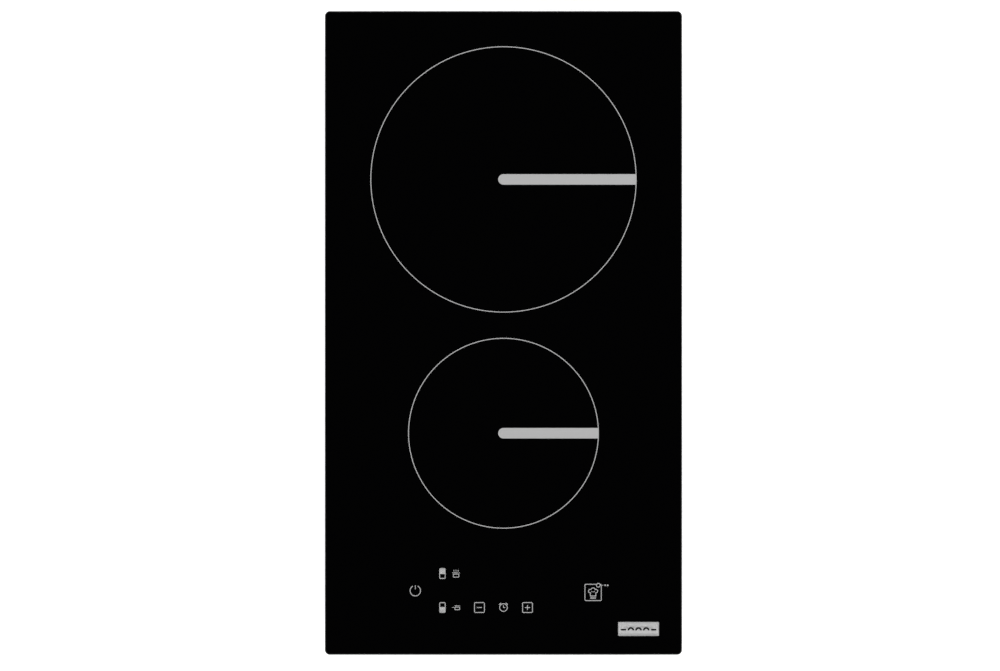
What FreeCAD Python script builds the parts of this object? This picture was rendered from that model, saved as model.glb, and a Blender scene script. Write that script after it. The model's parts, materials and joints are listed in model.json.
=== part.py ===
import FreeCAD, Part
import math
import os
import re
import Sketcher

# Built-in induction cooktop, narrow format, with two cooking zones one behind the other.
#
# Frame: +X to the right, +Y to the back, +Z up, in millimetres. The origin lies under the middle of the
# appliance, on the plane that the runners pressed into its tray stand on. A black glass plate lies on top.
# It is bonded to the flange of a sheet steel tray, which hangs in the worktop's cut-out. Inside, an
# aluminium plate carries two sprung coils and the touch module. Under that plate are the power board with
# its heat sink, the blower that cools it, and the mains terminal box, whose lid opens from below.

# ---------------------------------------------------------------- driving dimensions

DIMENSIONS = {
    "Whole appliance": {"total_height": 56.0},
    "Glass plate": {
        "glass_width": 288.5,
        "glass_depth": 520.0,
        "glass_thickness": 4.0,
        "glass_corner": 4.0,
        "glass_bevel": 0.6,
    },
    "Print on the glass": {
        "print_thickness": 0.05,
        "zone_line": 0.65,
        "zone_bar": 8.5,
        "rear_zone_y": 124.0,
        "rear_zone_radius": 107.5,
        "front_zone_y": -81.0,
        "front_zone_radius": 77.0,
        "icon_line": 0.6,
        "key_row_y": -221.8,
        "rear_row_y": -194.3,
        "power_x": -71.2,
        "power_y": -208.2,
        "power_radius": 4.5,
        "selector_x": -49.3,
        "selector_width": 5.0,
        "selector_height": 8.6,
        "pot_x": -38.3,
        "key_pitch": 19.4,
        "key_size": 8.6,
        "chef_x": 72.4,
        "chef_y": -209.6,
        "chef_size": 13.8,
        "badge_x": 109.1,
        "badge_y": -239.1,
        "badge_width": 33.0,
        "badge_height": 11.3,
    },
    "Seal and adhesive": {
        "gasket_width": 6.0,
        "gasket_thickness": 2.5,
        "gasket_inset": 1.0,
        "adhesive_thickness": 0.8,
        "adhesive_width": 4.5,
    },
    "Tray": {
        "sheet": 0.8,
        "tray_width": 263.0,
        "tray_depth": 482.0,
        "tray_corner": 6.0,
        "flange_width": 5.0,
        "bead_depth": 4.0,
        "runner_x": 83.0,
        "runner_y": -30.0,
        "runner_length": 350.0,
        "runner_width": 13.0,
        "pocket_width": 38.0,
        "pocket_length": 60.0,
        "pocket_y": 196.0,
        "pocket_height": 8.0,
        "exhaust_slots": 27,
        "exhaust_pitch": 8.0,
        "exhaust_width": 4.0,
        "exhaust_height": 20.0,
        "exhaust_level": 24.0,
        "floor_slots": 18,
        "floor_slot_length": 26.0,
        "floor_slot_y": -216.0,
        "grille_slots": 24,
        "grille_inner_slots": 8,
        "grille_width": 2.0,
        "grille_inner_radius": 5.0,
        "grille_inner_length": 6.0,
        "grille_outer_radius": 13.5,
        "grille_outer_length": 10.5,
        "bend_radius": 1.4,
    },
    "Worktop clamps": {
        "clamp_x": 110.0,
        "clamp_y": 214.0,
        "clamp_width": 18.0,
        "clamp_reach": 45.0,
        "clamp_sheet": 1.5,
        "clamp_drop": 4.7,
        "clamp_lip": 2.0,
        "clamp_clearance": 0.3,
        "clamp_screw_radius": 2.45,
        "clamp_hole_radius": 2.55,
        "clamp_head_radius": 4.75,
        "clamp_head_height": 2.6,
        "standoff_radius": 4.6,
        "clamp_screw_length": 15.0,
        "standoff_spigot": 3.4,
    },
    "Coil plate": {
        "plate_level": 35.0,
        "plate_sheet": 1.2,
        "plate_width": 254.0,
        "plate_depth": 476.0,
        "plate_corner": 8.0,
        "plate_rim": 4.0,
        "peg_hole_radius": 2.7,
        "rear_vent_offset": 42.0,
        "rear_vent_radius": 14.0,
        "front_vent_offset": 30.0,
        "front_vent_radius": 9.0,
        "lead_slot_x": 116.0,
        "lead_slot_width": 9.0,
        "lead_slot_length": 40.0,
        "rear_slot_y": 110.0,
        "front_slot_y": -78.0,
    },
    "Coils": {
        "former_level": 44.0,
        "former_thickness": 2.0,
        "former_wall": 1.5,
        "former_rim": 4.0,
        "former_bore": 12.0,
        "rear_former_radius": 102.0,
        "front_former_radius": 73.0,
        "rear_coil_inner": 28.0,
        "front_coil_inner": 24.0,
        "rear_half_turns": 44,
        "front_half_turns": 28,
        "litz_radius": 1.45,
        "litz_pitch": 3.1,
        "ferrite_width": 11.0,
        "ferrite_height": 4.0,
        "rear_ferrite_start": 34.0,
        "rear_ferrite_length": 64.0,
        "front_ferrite_start": 32.0,
        "front_ferrite_length": 36.0,
        "ferrite_bars": 8,
        "mat_gap": 0.1,
        "mat_clearance": 0.3,
        "mat_bore": 12.5,
        "rear_peg_radius": 78.0,
        "front_peg_radius": 50.0,
        "peg_radius": 2.0,
        "peg_length": 11.0,
        "spring_radius": 4.0,
        "spring_wire": 0.45,
        "spring_pitch": 1.725,
        "lead_radius": 1.4,
    },
    "Blower": {
        "fan_x": -52.0,
        "fan_y": 180.0,
        "scroll_x": -50.0,
        "scroll_radius": 40.5,
        "scroll_wall": 1.5,
        "scroll_height": 20.0,
        "outlet_width": 50.0,
        "outlet_reach": 46.0,
        "inlet_radius": 25.0,
        "lug_offset": 31.0,
        "lug_radius": 4.5,
        "lug_height": 7.0,
        "wheel_radius": 31.0,
        "wheel_inner": 23.5,
        "wheel_level": 8.0,
        "wheel_height": 12.6,
        "blades": 28,
        "blade_thickness": 0.9,
        "blade_lean": 3.2,
        "hub_radius": 14.0,
        "hub_wall": 1.2,
        "shaft_radius": 1.5,
        "bearing_bore": 1.55,
        "bearing_radius": 2.6,
        "tube_radius": 3.8,
        "magnet_thickness": 1.3,
        "stator_radius": 10.4,
        "stator_height": 6.0,
    },
    "Power board": {
        "board_level": 11.0,
        "board_thickness": 1.6,
        "board_width": 224.0,
        "board_depth": 203.0,
        "board_y": 16.5,
        "carrier_width": 254.0,
        "carrier_depth": 286.0,
        "carrier_y": -15.0,
        "carrier_base": 1.5,
        "column_x": 120.0,
        "column_radius": 4.0,
        "column_front_y": -110.0,
        "column_rear_y": 60.0,
        "boss_x": 106.0,
        "boss_reach": 95.5,
        "boss_radius": 3.5,
        "sink_x": -34.0,
        "sink_y": 61.0,
        "sink_width": 60.0,
        "sink_length": 102.0,
        "sink_base": 3.0,
        "sink_height": 15.4,
        "fins": 10,
        "fin_thickness": 1.2,
        "fin_wall": 3.0,
        "package_depth": 5.0,
        "package_height": 11.5,
        "package_width": 15.8,
        "package_stand": 2.4,
        "component_height": 15.0,
    },
    "Small screws": {
        "screw_radius": 1.5,
        "screw_hole": 1.6,
        "screw_head": 3.0,
        "screw_head_height": 1.8,
        "recess_width": 0.8,
    },
    "Touch module": {
        "touch_x": 6.5,
        "touch_y": -207.0,
        "touch_width": 177.0,
        "touch_depth": 50.0,
        "touch_level": 40.0,
        "touch_frame": 4.0,
        "touch_spring_radius": 3.6,
        "touch_spring_wire": 0.45,
        "touch_spring_pitch": 1.9,
        "display_x": 22.0,
        "display_y": -196.0,
        "display_width": 12.6,
        "display_depth": 19.0,
        "display_height": 8.0,
        "ribbon_width": 12.0,
        "ribbon_thickness": 0.9,
        "ribbon_x": 60.0,
    },
    "Terminal box": {
        "box_left": 6.0,
        "box_width": 76.0,
        "box_front": 185.0,
        "box_height": 30.0,
        "box_wall": 2.0,
        "box_rear_wall": 2.5,
        "box_flange": 6.0,
        "box_fit": 0.2,
        "cord_radius": 5.5,
        "cord_level": 15.0,
        "lid_thickness": 2.0,
        "lid_hinge_y": 190.0,
        "lid_level": 5.8,
        "lid_pin_radius": 1.3,
        "lid_pin_clearance": 0.08,
        "lid_side_gap": 0.4,
        "lid_rear_y": 237.9,
        "block_length": 60.0,
        "block_depth": 18.0,
        "block_height": 12.0,
        "block_y": 204.0,
        "terminal_pitch": 12.0,
        "terminal_radius": 3.2,
        "jaw_y": 227.5,
        "jaw_depth": 7.0,
        "jaw_width": 28.0,
        "jaw_level": 8.6,
        "jaw_thickness": 2.5,
        "post_width": 6.0,
        "mains_radius": 1.4,
    },
    "Rating label": {
        "label_width": 90.0,
        "label_depth": 55.0,
        "label_y": -60.0,
        "label_thickness": 0.15,
        "label_corner": 3.0,
    },
}

V = FreeCAD.Vector
ALIASES = {alias for entries in DIMENSIONS.values() for alias in entries}
SUBPARTS = []

doc = FreeCAD.newDocument("InductionCooktop")
sheet = doc.addObject("Spreadsheet::Sheet", "Dims")


def fill_sheet():
    """Writes each section's heading, and each dimension as a plain number with an alias."""
    row = 0
    for section, entries in DIMENSIONS.items():
        row += 1
        sheet.set(f"A{row}", section)
        for alias, number in entries.items():
            row += 1
            sheet.set(f"A{row}", alias.replace("_", " "))
            sheet.set(f"B{row}", str(number))
            sheet.setAlias(f"B{row}", alias)
    doc.recompute()


fill_sheet()

# Heights that several pieces share, as formulas of the sheet's dimensions
GLASS_UNDER = "(total_height - glass_thickness)"
FLANGE_TOP = "(total_height - glass_thickness - adhesive_thickness)"
FLOOR_TOP = "(bead_depth + sheet)"
POCKET_ROOF = "(bead_depth + pocket_height)"
PLATE_TOP = "(plate_level + plate_sheet)"
BOARD_TOP = "(board_level + board_thickness)"
WINDING_UNDER = "(former_level + former_thickness)"
SCROLL_TOP = "(bead_depth + sheet + scroll_height)"
TOUCH_TOP = "(touch_level + board_thickness)"
BOX_ROOF = "(bead_depth + box_height - box_wall)"
BOX_MIDDLE = "(box_left + box_width / 2)"
TRAY_BACK = "(tray_depth / 2)"

# ---------------------------------------------------------------- document helpers


def formula(text):
    """The text as a FreeCAD expression: the sheet's name goes before each of its aliases."""
    return re.sub(
        r"[a-z_][a-z0-9_]*",
        lambda word: f"Dims.{word[0]}" if word[0] in ALIASES else word[0],
        str(text),
    )


def value(text):
    return float(sheet.evalExpression(formula(text)))


def bind(thing, property_name, text):
    thing.setExpression(property_name, formula(text))


def subpart(thing, label):
    """Marks an object as a sub-part: its label names its STEP file."""
    thing.Label = label
    SUBPARTS.append(thing)
    return thing


def place(thing, x, y, z):
    for letter, text in zip("xyz", (x, y, z)):
        bind(thing, f"Placement.Base.{letter}", text)


def block(x, y, z, length, depth, height):
    """A box from its low corner: length along X, depth along Y, height along Z."""
    thing = doc.addObject("Part::Box", "Block")
    bind(thing, "Length", length)
    bind(thing, "Width", depth)
    bind(thing, "Height", height)
    place(thing, x, y, z)
    return thing


def centred_block(x, y, z, length, depth, height):
    """A box whose middle stands over x, y, with its underside at z."""
    return block(f"({x}) - ({length}) / 2", f"({y}) - ({depth}) / 2", z, length, depth, height)


def rod(x, y, z, radius, length, along="z"):
    """A cylinder that starts at x, y, z and runs along one axis."""
    turns = {"x": (V(0, 1, 0), 90), "y": (V(1, 0, 0), -90), "z": (V(0, 0, 1), 0)}
    thing = doc.addObject("Part::Cylinder", "Rod")
    bind(thing, "Radius", radius)
    bind(thing, "Height", length)
    thing.Placement = FreeCAD.Placement(V(0, 0, 0), FreeCAD.Rotation(*turns[along]))
    place(thing, x, y, z)
    return thing


def fuse(*shapes):
    thing = doc.addObject("Part::MultiFuse", "Fuse")
    thing.Shapes = list(shapes)
    thing.Refine = True
    return thing


def common(*shapes):
    thing = doc.addObject("Part::MultiCommon", "Common")
    thing.Shapes = list(shapes)
    return thing


def cut(base, *tools):
    thing = doc.addObject("Part::Cut", "Cut")
    thing.Base = base
    thing.Tool = tools[0] if len(tools) == 1 else fuse(*tools)
    thing.Refine = True
    return thing


def group(*shapes):
    """Separate solids that share one node."""
    thing = doc.addObject("Part::Compound", "Group")
    thing.Links = list(shapes)
    return thing


def turned(thing, degrees, x, y):
    """The object turned about the vertical line through x, y. Its own place is given from that line."""
    holder = doc.addObject("Part::Compound", "Turned")
    holder.Links = [thing]
    holder.Placement = FreeCAD.Placement(V(0, 0, 0), FreeCAD.Rotation(V(0, 0, 1), degrees))
    place(holder, x, y, "0")
    return holder


class Outline:
    """A sketch whose sizes and places are bound to the sheet. It lies on an origin plane of its body, or on
    the document's XY plane, moved along the plane's normal and, in the plane, to its own origin."""

    def __init__(self, body=None, plane="XY_Plane", offset="0", origin=("0", "0")):
        name = "Sketcher::SketchObject"
        if body is None:
            self.sketch = doc.addObject(name, "Outline")
            prefix = "Placement"
        else:
            self.sketch = body.newObject(name, "Outline")
            support = next(f for f in body.Origin.OriginFeatures if f.Role == plane)
            self.sketch.AttachmentSupport = [(support, "")]
            self.sketch.MapMode = "FlatFace"
            prefix = "AttachmentOffset"
        for letter, text in zip("xyz", (*origin, offset)):
            bind(self.sketch, f"{prefix}.Base.{letter}", text)
        self.dimensions = 0

    def line(self, start, end):
        return self.sketch.addGeometry(Part.LineSegment(V(*start, 0), V(*end, 0)))

    def arc(self, centre, radius, start, end):
        """A circular arc, anticlockwise from one angle in degrees to another."""
        circle = Part.Circle(V(*centre, 0), V(0, 0, 1), radius)
        return self.sketch.addGeometry(Part.ArcOfCircle(circle, math.radians(start), math.radians(end)))

    def rule(self, kind, *where):
        self.sketch.addConstraint(Sketcher.Constraint(kind, *where))

    def size(self, kind, *where, text):
        """A dimension that follows a formula of the sheet."""
        index = self.sketch.addConstraint(Sketcher.Constraint(kind, *where, value(text)))
        name = f"size_{self.dimensions}"
        self.dimensions += 1
        self.sketch.renameConstraint(index, name)
        bind(self.sketch, f"Constraints.{name}", text)

    def point(self, geometry, end, x, y):
        """Holds a point of the geometry at x, y from the sketch's origin."""
        self.size("DistanceX", -1, 1, geometry, end, text=x)
        self.size("DistanceY", -1, 1, geometry, end, text=y)

    def circle(self, x, y, radius):
        spot = V(value(x), value(y), 0)
        ring = self.sketch.addGeometry(Part.Circle(spot, V(0, 0, 1), value(radius)))
        self.size("Radius", ring, text=radius)
        self.point(ring, 3, x, y)
        return self

    def polygon(self, *corners):
        spots = [(value(x), value(y)) for x, y in corners]
        sides = [self.line(spot, spots[(i + 1) % len(spots)]) for i, spot in enumerate(spots)]
        for i, side in enumerate(sides):
            self.rule("Coincident", side, 2, sides[(i + 1) % len(sides)], 1)
            self.point(side, 1, *corners[i])
        return self

    def rectangle(self, x, y, width, depth, corner=None):
        """A rectangle about x, y, with round corners if a corner radius is given."""
        w, d = value(width) / 2, value(depth) / 2
        cx, cy = value(x), value(y)
        r = value(corner) if corner else 0
        low = self.line((cx - w + r, cy - d), (cx + w - r, cy - d))
        right = self.line((cx + w, cy - d + r), (cx + w, cy + d - r))
        high = self.line((cx + w - r, cy + d), (cx - w + r, cy + d))
        left = self.line((cx - w, cy + d - r), (cx - w, cy - d + r))
        sides = [low, right, high, left]
        for side in (low, high):
            self.rule("Horizontal", side)
        for side in (right, left):
            self.rule("Vertical", side)
        if corner:
            centres = [(w - r, r - d, 270), (w - r, d - r, 0), (r - w, d - r, 90), (r - w, r - d, 180)]
            arcs = [self.arc((cx + u, cy + v), r, start, start + 90) for u, v, start in centres]
            for i, bend in enumerate(arcs):
                self.rule("Tangent", sides[i], 2, bend, 1)
                self.rule("Tangent", bend, 2, sides[(i + 1) % 4], 1)
            for bend in arcs[1:]:
                self.rule("Equal", arcs[0], bend)
            self.size("Radius", arcs[0], text=corner)
        else:
            for i in range(4):
                self.rule("Coincident", sides[i], 2, sides[(i + 1) % 4], 1)
        self.size("DistanceX", left, 1, right, 2, text=width)
        self.size("DistanceY", low, 1, high, 2, text=depth)
        self.size("DistanceX", -1, 1, left, 1, text=f"({x}) - ({width}) / 2")
        self.size("DistanceY", -1, 1, low, 1, text=f"({y}) - ({depth}) / 2")
        return self

    def slot(self, x, y, length, width, along="x"):
        """A slot with round ends about x, y. Its length is from end to end."""
        half, r = (value(length) - value(width)) / 2, value(width) / 2
        cx, cy = value(x), value(y)
        reach = f"(({length}) - ({width})) / 2"
        if along == "x":
            one = self.line((cx - half, cy - r), (cx + half, cy - r))
            two = self.line((cx + half, cy + r), (cx - half, cy + r))
            far = self.arc((cx + half, cy), r, 270, 450)
            near = self.arc((cx - half, cy), r, 90, 270)
            ends = (f"({x}) + {reach}", y), (f"({x}) - {reach}", y)
        else:
            one = self.line((cx + r, cy - half), (cx + r, cy + half))
            two = self.line((cx - r, cy + half), (cx - r, cy - half))
            far = self.arc((cx, cy + half), r, 0, 180)
            near = self.arc((cx, cy - half), r, 180, 360)
            ends = (x, f"({y}) + {reach}"), (x, f"({y}) - {reach}")
        for first, second in ((one, far), (far, two), (two, near), (near, one)):
            self.rule("Tangent", first, 2, second, 1)
        self.size("Radius", far, text=f"({width}) / 2")
        self.point(far, 3, *ends[0])
        self.point(near, 3, *ends[1])
        return self

    def band(self, x, y, radius, width, start, end):
        """Part of a ring, anticlockwise between two angles in degrees. The radius is the outer one."""
        cx, cy = value(x), value(y)
        outer_r, inner_r = value(radius), value(radius) - value(width)

        def spot(r, degrees):
            angle = math.radians(degrees)
            return (cx + r * math.cos(angle), cy + r * math.sin(angle))

        outer = self.arc((cx, cy), outer_r, start, end)
        inner = self.arc((cx, cy), inner_r, start, end)
        head = self.line(spot(inner_r, start), spot(outer_r, start))
        tail = self.line(spot(outer_r, end), spot(inner_r, end))
        for first, second in (((head, 2), (outer, 1)), ((outer, 2), (tail, 1))):
            self.rule("Coincident", *first, *second)
        for first, second in (((tail, 2), (inner, 2)), ((inner, 1), (head, 1))):
            self.rule("Coincident", *first, *second)
        self.rule("Coincident", outer, 3, inner, 3)
        self.rule("PointOnObject", outer, 3, head)
        self.rule("PointOnObject", outer, 3, tail)
        self.point(outer, 3, x, y)
        self.size("Radius", outer, text=radius)
        self.size("Radius", inner, text=f"({radius}) - ({width})")
        self.rule("Angle", head, math.radians(start))
        self.rule("Angle", tail, math.radians(end - 180))
        return self


class Piece:
    """A PartDesign body, built up feature by feature."""

    def __init__(self, label):
        self.body = subpart(doc.addObject("PartDesign::Body", "Body"), label)
        self.tip = None

    def outline(self, plane="XY_Plane", offset="0", origin=("0", "0")):
        return Outline(self.body, plane, offset, origin)

    def feature(self, kind, outline, length, reverse, symmetric):
        thing = self.body.newObject(kind, kind.split("::")[1])
        thing.Profile = outline.sketch
        thing.Reversed = reverse
        if symmetric:
            thing.SideType = "Symmetric"
        bind(thing, "Length", length)
        self.tip = thing
        return self

    def add(self, outline, length, reverse=False, symmetric=False):
        """Pads along the sketch's normal, or against it if reversed."""
        return self.feature("PartDesign::Pad", outline, length, reverse, symmetric)

    def remove(self, outline, length, reverse=False, symmetric=False):
        """Pockets against the sketch's normal, or along it if reversed."""
        return self.feature("PartDesign::Pocket", outline, length, reverse, symmetric)

    def spin(self, outline):
        """Revolves an outline drawn on the XZ plane once about the sketch's own vertical axis."""
        thing = self.body.newObject("PartDesign::Revolution", "Revolution")
        thing.Profile = outline.sketch
        thing.ReferenceAxis = (outline.sketch, ["V_Axis"])
        thing.Angle = 360
        self.tip = thing
        return self

    def repeat_round(self, outline, count):
        """Repeats the last feature about the sketch's own origin."""
        thing = self.body.newObject("PartDesign::PolarPattern", "PolarPattern")
        thing.Originals = [self.tip]
        thing.Axis = (outline.sketch, ["N_Axis"])
        thing.Angle = 360
        bind(thing, "Occurrences", count)
        self.body.Tip = self.tip = thing
        return self

    def repeat_along(self, outline, count, pitch, axis="H_Axis"):
        """Repeats the last feature along one of the sketch's axes."""
        thing = self.body.newObject("PartDesign::LinearPattern", "LinearPattern")
        thing.Originals = [self.tip]
        thing.Direction = (outline.sketch, [axis])
        bind(thing, "Length", f"({pitch}) * (({count}) - 1)")
        bind(thing, "Occurrences", count)
        self.body.Tip = self.tip = thing
        return self

    def dress(self, kind, size, chosen):
        """Rounds or bevels every edge for which chosen(bounding box) is true."""
        doc.recompute()
        edges = enumerate(self.tip.Shape.Edges, start=1)
        names = [f"Edge{index}" for index, edge in edges if chosen(edge.BoundBox)]
        thing = self.body.newObject(f"PartDesign::{kind}", kind)
        thing.Base = (self.tip, names)
        bind(thing, "Size" if kind == "Chamfer" else "Radius", size)
        self.tip = thing
        return self


def lies_at(*levels):
    """A test for edges that lie flat at one of the given heights."""
    heights = [value(level) for level in levels]
    return lambda box: box.ZLength < 1e-6 and any(abs(box.ZMin - height) < 1e-6 for height in heights)


def extruded(outline, height):
    """Plain extrusion of a sketch that may hold several separate closed outlines."""
    thing = doc.addObject("Part::Extrusion", "Extrusion")
    thing.Base = outline.sketch
    thing.DirMode = "Normal"
    thing.Solid = True
    thing.FaceMakerClass = "Part::FaceMakerBullseye"
    bind(thing, "LengthFwd", height)
    return thing


def swept(profile, steps):
    """The solid that a closed wire leaves as it moves by straight steps (a vector each) and round steps (a
    centre, an axis and an angle in degrees each)."""
    faces = [Part.Face(profile)]
    wire = profile
    for step in steps:
        piece = wire.extrude(*step) if len(step) == 1 else wire.revolve(*step)
        faces += piece.Faces
        wire = wire.copy()
        if len(step) == 1:
            wire.translate(*step)
        else:
            wire.rotate(*step)
    faces.append(Part.Face(wire))
    shell = Part.Shell(faces)
    shell.sewShape()
    solid = Part.Solid(Part.Shell(shell.Faces))
    if solid.Volume < 0:
        solid.reverse()
    return solid


def along_points(points, make_profile):
    """Sweeps the wire that make_profile(start, direction) returns along straight runs with tangent arcs.
    Each arc is as large as its two runs allow. Returns the solid and the length of its centreline."""
    spots = [V(*point) for point in points]
    runs = [b - a for a, b in zip(spots, spots[1:])]
    last = len(runs) - 1
    room = [run.Length * (0.98 if i in (0, last) else 0.49) for i, run in enumerate(runs)]
    steps = []
    length = 0
    used = 0
    for i, run in enumerate(runs):
        direction = V(run).normalize()
        tangent = min(room[i], room[i + 1]) if i < last else 0
        straight = run.Length - used - tangent
        steps.append((direction * straight,))
        length += straight
        if i < last:
            turn = run.getAngle(runs[i + 1])
            radius = tangent / math.tan(turn / 2)
            axis = direction.cross(runs[i + 1]).normalize()
            corner = spots[i + 1] - direction * tangent
            steps.append((corner + axis.cross(direction) * radius, axis, math.degrees(turn)))
            length += radius * turn
            print(f"  bend of radius {radius:.1f} mm through {math.degrees(turn):.0f} degrees")
        used = tangent
    return swept(make_profile(spots[0], V(runs[0]).normalize()), steps), length


def round_lead(points, radius):
    """A round wire through the points. Its volume is compared with its section times its length."""
    solid, length = along_points(points, lambda at, way: Part.Wire(Part.makeCircle(radius, at, way)))
    expected = math.pi * radius**2 * length
    if abs(solid.Volume - expected) > 1e-3 * expected:
        raise ValueError("a lead's volume isn't its section times its length")
    return solid


def formed(label, solids):
    """A sub-part whose shape is set from solids that were worked out above."""
    thing = doc.addObject("Part::Feature", "Formed")
    thing.Shape = Part.makeCompound(solids) if len(solids) > 1 else solids[0]
    return subpart(thing, label)


def screw(x, y, seat, length, radius, head_radius, head_height, facing=-1):
    """A pan-head screw with a cross recess. Its head bears on the plane z = seat from below (facing -1) or
    from above (facing 1), and its shank runs the other way."""
    if facing < 0:
        head_from, shank_from = f"({seat}) - ({head_height})", seat
        recess_from = head_from
    else:
        head_from, shank_from = seat, f"({seat}) - ({length})"
        recess_from = f"({seat}) + ({head_height}) / 2"
    body = fuse(rod(x, y, head_from, head_radius, head_height), rod(x, y, shank_from, radius, length))
    arms = [
        centred_block(x, y, recess_from, f"({head_radius}) * 1.2", "recess_width", f"({head_height}) / 2"),
        centred_block(x, y, recess_from, "recess_width", f"({head_radius}) * 1.2", f"({head_height}) / 2"),
    ]
    return cut(body, *arms)


def small_screw(x, y, seat, length, facing=-1):
    return screw(x, y, seat, length, "screw_radius", "screw_head", "screw_head_height", facing)


# ---------------------------------------------------------------- print on the glass

PRINT_LEVEL = "(total_height - print_thickness)"


def zone_print(label, y, radius):
    """The ring around a cooking zone, with the bar from the zone's middle out to the ring."""
    ring = cut(
        rod("0", y, PRINT_LEVEL, radius, "print_thickness"),
        rod("0", y, PRINT_LEVEL, f"{radius} - zone_line", "print_thickness"),
    )
    bar = fuse(
        rod("0", y, PRINT_LEVEL, "zone_bar / 2", "print_thickness"),
        block("0", f"{y} - zone_bar / 2", PRINT_LEVEL, radius, "zone_bar", "print_thickness"),
    )
    inside = rod("0", y, PRINT_LEVEL, radius, "print_thickness")
    return subpart(fuse(ring, common(bar, inside)), label)


def ink(draw, x, y):
    """Part of the print, drawn by a function on an outline whose origin lies at x, y."""
    outline = Outline(offset=PRINT_LEVEL, origin=(x, y))
    draw(outline)
    return extruded(outline, "print_thickness")


def draw_power(mark):
    mark.band("0", "0", "power_radius", "icon_line", 118, 422)
    mark.slot("0", "2.7", "3.4", "icon_line", along="y")


def draw_selector(hollow_side):
    """A zone selector, which is filled in its other half."""

    def draw(mark):
        mark.rectangle("0", "0", "selector_width", "selector_height", "1")
        mark.rectangle("0", f"{hollow_side} * 2", "selector_width - 2 * icon_line", "3.2")

    return draw


def draw_pot(mark):
    mark.rectangle("0", "-1.7", "5", "3", "0.6")
    mark.rectangle("0", "-1.7", "3.9", "1.9")
    mark.slot("0", "0.5", "6.2", "0.5")
    for x in (-1.7, 0, 1.7):
        mark.slot(f"{x}", "2.2", "1.6", "0.5", along="y")


def draw_pan(mark):
    mark.rectangle("1", "-0.7", "4.4", "2.6", "0.6")
    mark.rectangle("1", "-0.7", "3.3", "1.5")
    mark.slot("-2.4", "0.1", "1.8", "0.5")
    mark.slot("1", "1.4", "4.6", "0.5")


def draw_key_frame(mark):
    mark.rectangle("0", "0", "key_size", "key_size", "1.2")
    mark.rectangle("0", "0", "key_size - 2 * icon_line", "key_size - 2 * icon_line", "0.5")


def draw_minus(mark):
    draw_key_frame(mark)
    mark.slot("0", "0", "4", "icon_line")


def draw_plus(mark):
    draw_key_frame(mark)
    near, far = "icon_line / 2", "2"
    quarter = [(far, near), (near, near), (near, far)]
    corners = []
    for flip_x, flip_y, order in ((1, 1, 1), (-1, 1, -1), (-1, -1, 1), (1, -1, -1)):
        corners += [(f"{flip_x} * {x}", f"{flip_y} * {y}") for x, y in quarter[::order]]
    mark.polygon(*corners)


def draw_clock(mark):
    mark.circle("0", "0", "3.4")
    mark.circle("0", "0", "3.4 - icon_line")
    mark.polygon(("-0.25", "-0.25"), ("1.4", "-0.25"), ("1.4", "0.25"), ("0.25", "0.25"), ("0.25", "1.8"),
                 ("-0.25", "1.8"))
    mark.band("0", "0", "4.4", "icon_line", 32, 64)
    mark.band("0", "0", "4.4", "icon_line", 116, 148)


def draw_chef_frame(mark):
    mark.rectangle("0", "0", "chef_size", "chef_size", "1.2")
    mark.rectangle("0", "0", "chef_size - 2 * icon_line", "chef_size - 2 * icon_line", "0.7")


def dot(x, y, radius):
    return rod(f"chef_x + {x}", f"chef_y + {y}", PRINT_LEVEL, radius, "print_thickness")


def hat_shape(inset):
    """A chef's hat of three lobes over a narrow body, shrunk on all sides by an inset."""
    body = centred_block(
        "chef_x", "chef_y - 1.1", PRINT_LEVEL, f"5 - 2 * ({inset})", f"4 - 2 * ({inset})", "print_thickness"
    )
    return fuse(
        dot(-2.3, 1.1, f"1.7 - ({inset})"),
        dot(0, 2, f"2 - ({inset})"),
        dot(2.3, 1.1, f"1.7 - ({inset})"),
        body,
    )


def chef_mark():
    """A framed chef's hat with a small ring over the frame's corner, and three dots beside it."""
    frame = ink(draw_chef_frame, "chef_x", "chef_y")
    ring = cut(dot(4.2, 5.8, "1.8"), dot(4.2, 5.8, "1.8 - icon_line"))
    hat = cut(hat_shape("0"), hat_shape("icon_line"))
    bands = [
        centred_block("chef_x", f"chef_y - {drop}", PRINT_LEVEL, "4.6", "0.5", "print_thickness")
        for drop in (3.9, 4.9)
    ]
    dots = [dot(x, 5.8, radius) for x, radius in ((7.8, "0.4"), (9.8, "0.7"), (11.8, "0.7"))]
    return [fuse(cut(frame, dot(4.2, 5.8, "1.8")), ring), hat, *bands, *dots]


def make_prints():
    rear = zone_print("rear_zone_print", "rear_zone_y", "rear_zone_radius")
    front = zone_print("front_zone_print", "front_zone_y", "front_zone_radius")
    controls = [
        ink(draw_power, "power_x", "power_y"),
        ink(draw_selector(-1), "selector_x", "rear_row_y"),
        ink(draw_selector(1), "selector_x", "key_row_y"),
        ink(draw_pot, "pot_x", "rear_row_y"),
        ink(draw_pan, "pot_x", "key_row_y"),
        ink(draw_minus, "-key_pitch", "key_row_y"),
        ink(draw_clock, "0", "key_row_y"),
        ink(draw_plus, "key_pitch", "key_row_y"),
        *chef_mark(),
    ]
    control = subpart(group(*controls), "control_print")

    def draw_badge(mark):
        mark.rectangle("0", "0", "badge_width", "badge_height", "0.8")
        for x in (-6.2, 0, 6.2):
            mark.band(f"{x}", "-1.2", "2.7", "1.3", 0, 180)
        for x in (-12.2, 12.2):
            mark.slot(f"{x}", "-0.6", "4.4", "1.3")

    badge = subpart(ink(draw_badge, "badge_x", "badge_y"), "name_badge")
    return rear, front, control, badge


prints = make_prints()

# ---------------------------------------------------------------- glass, seal and adhesive


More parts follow.
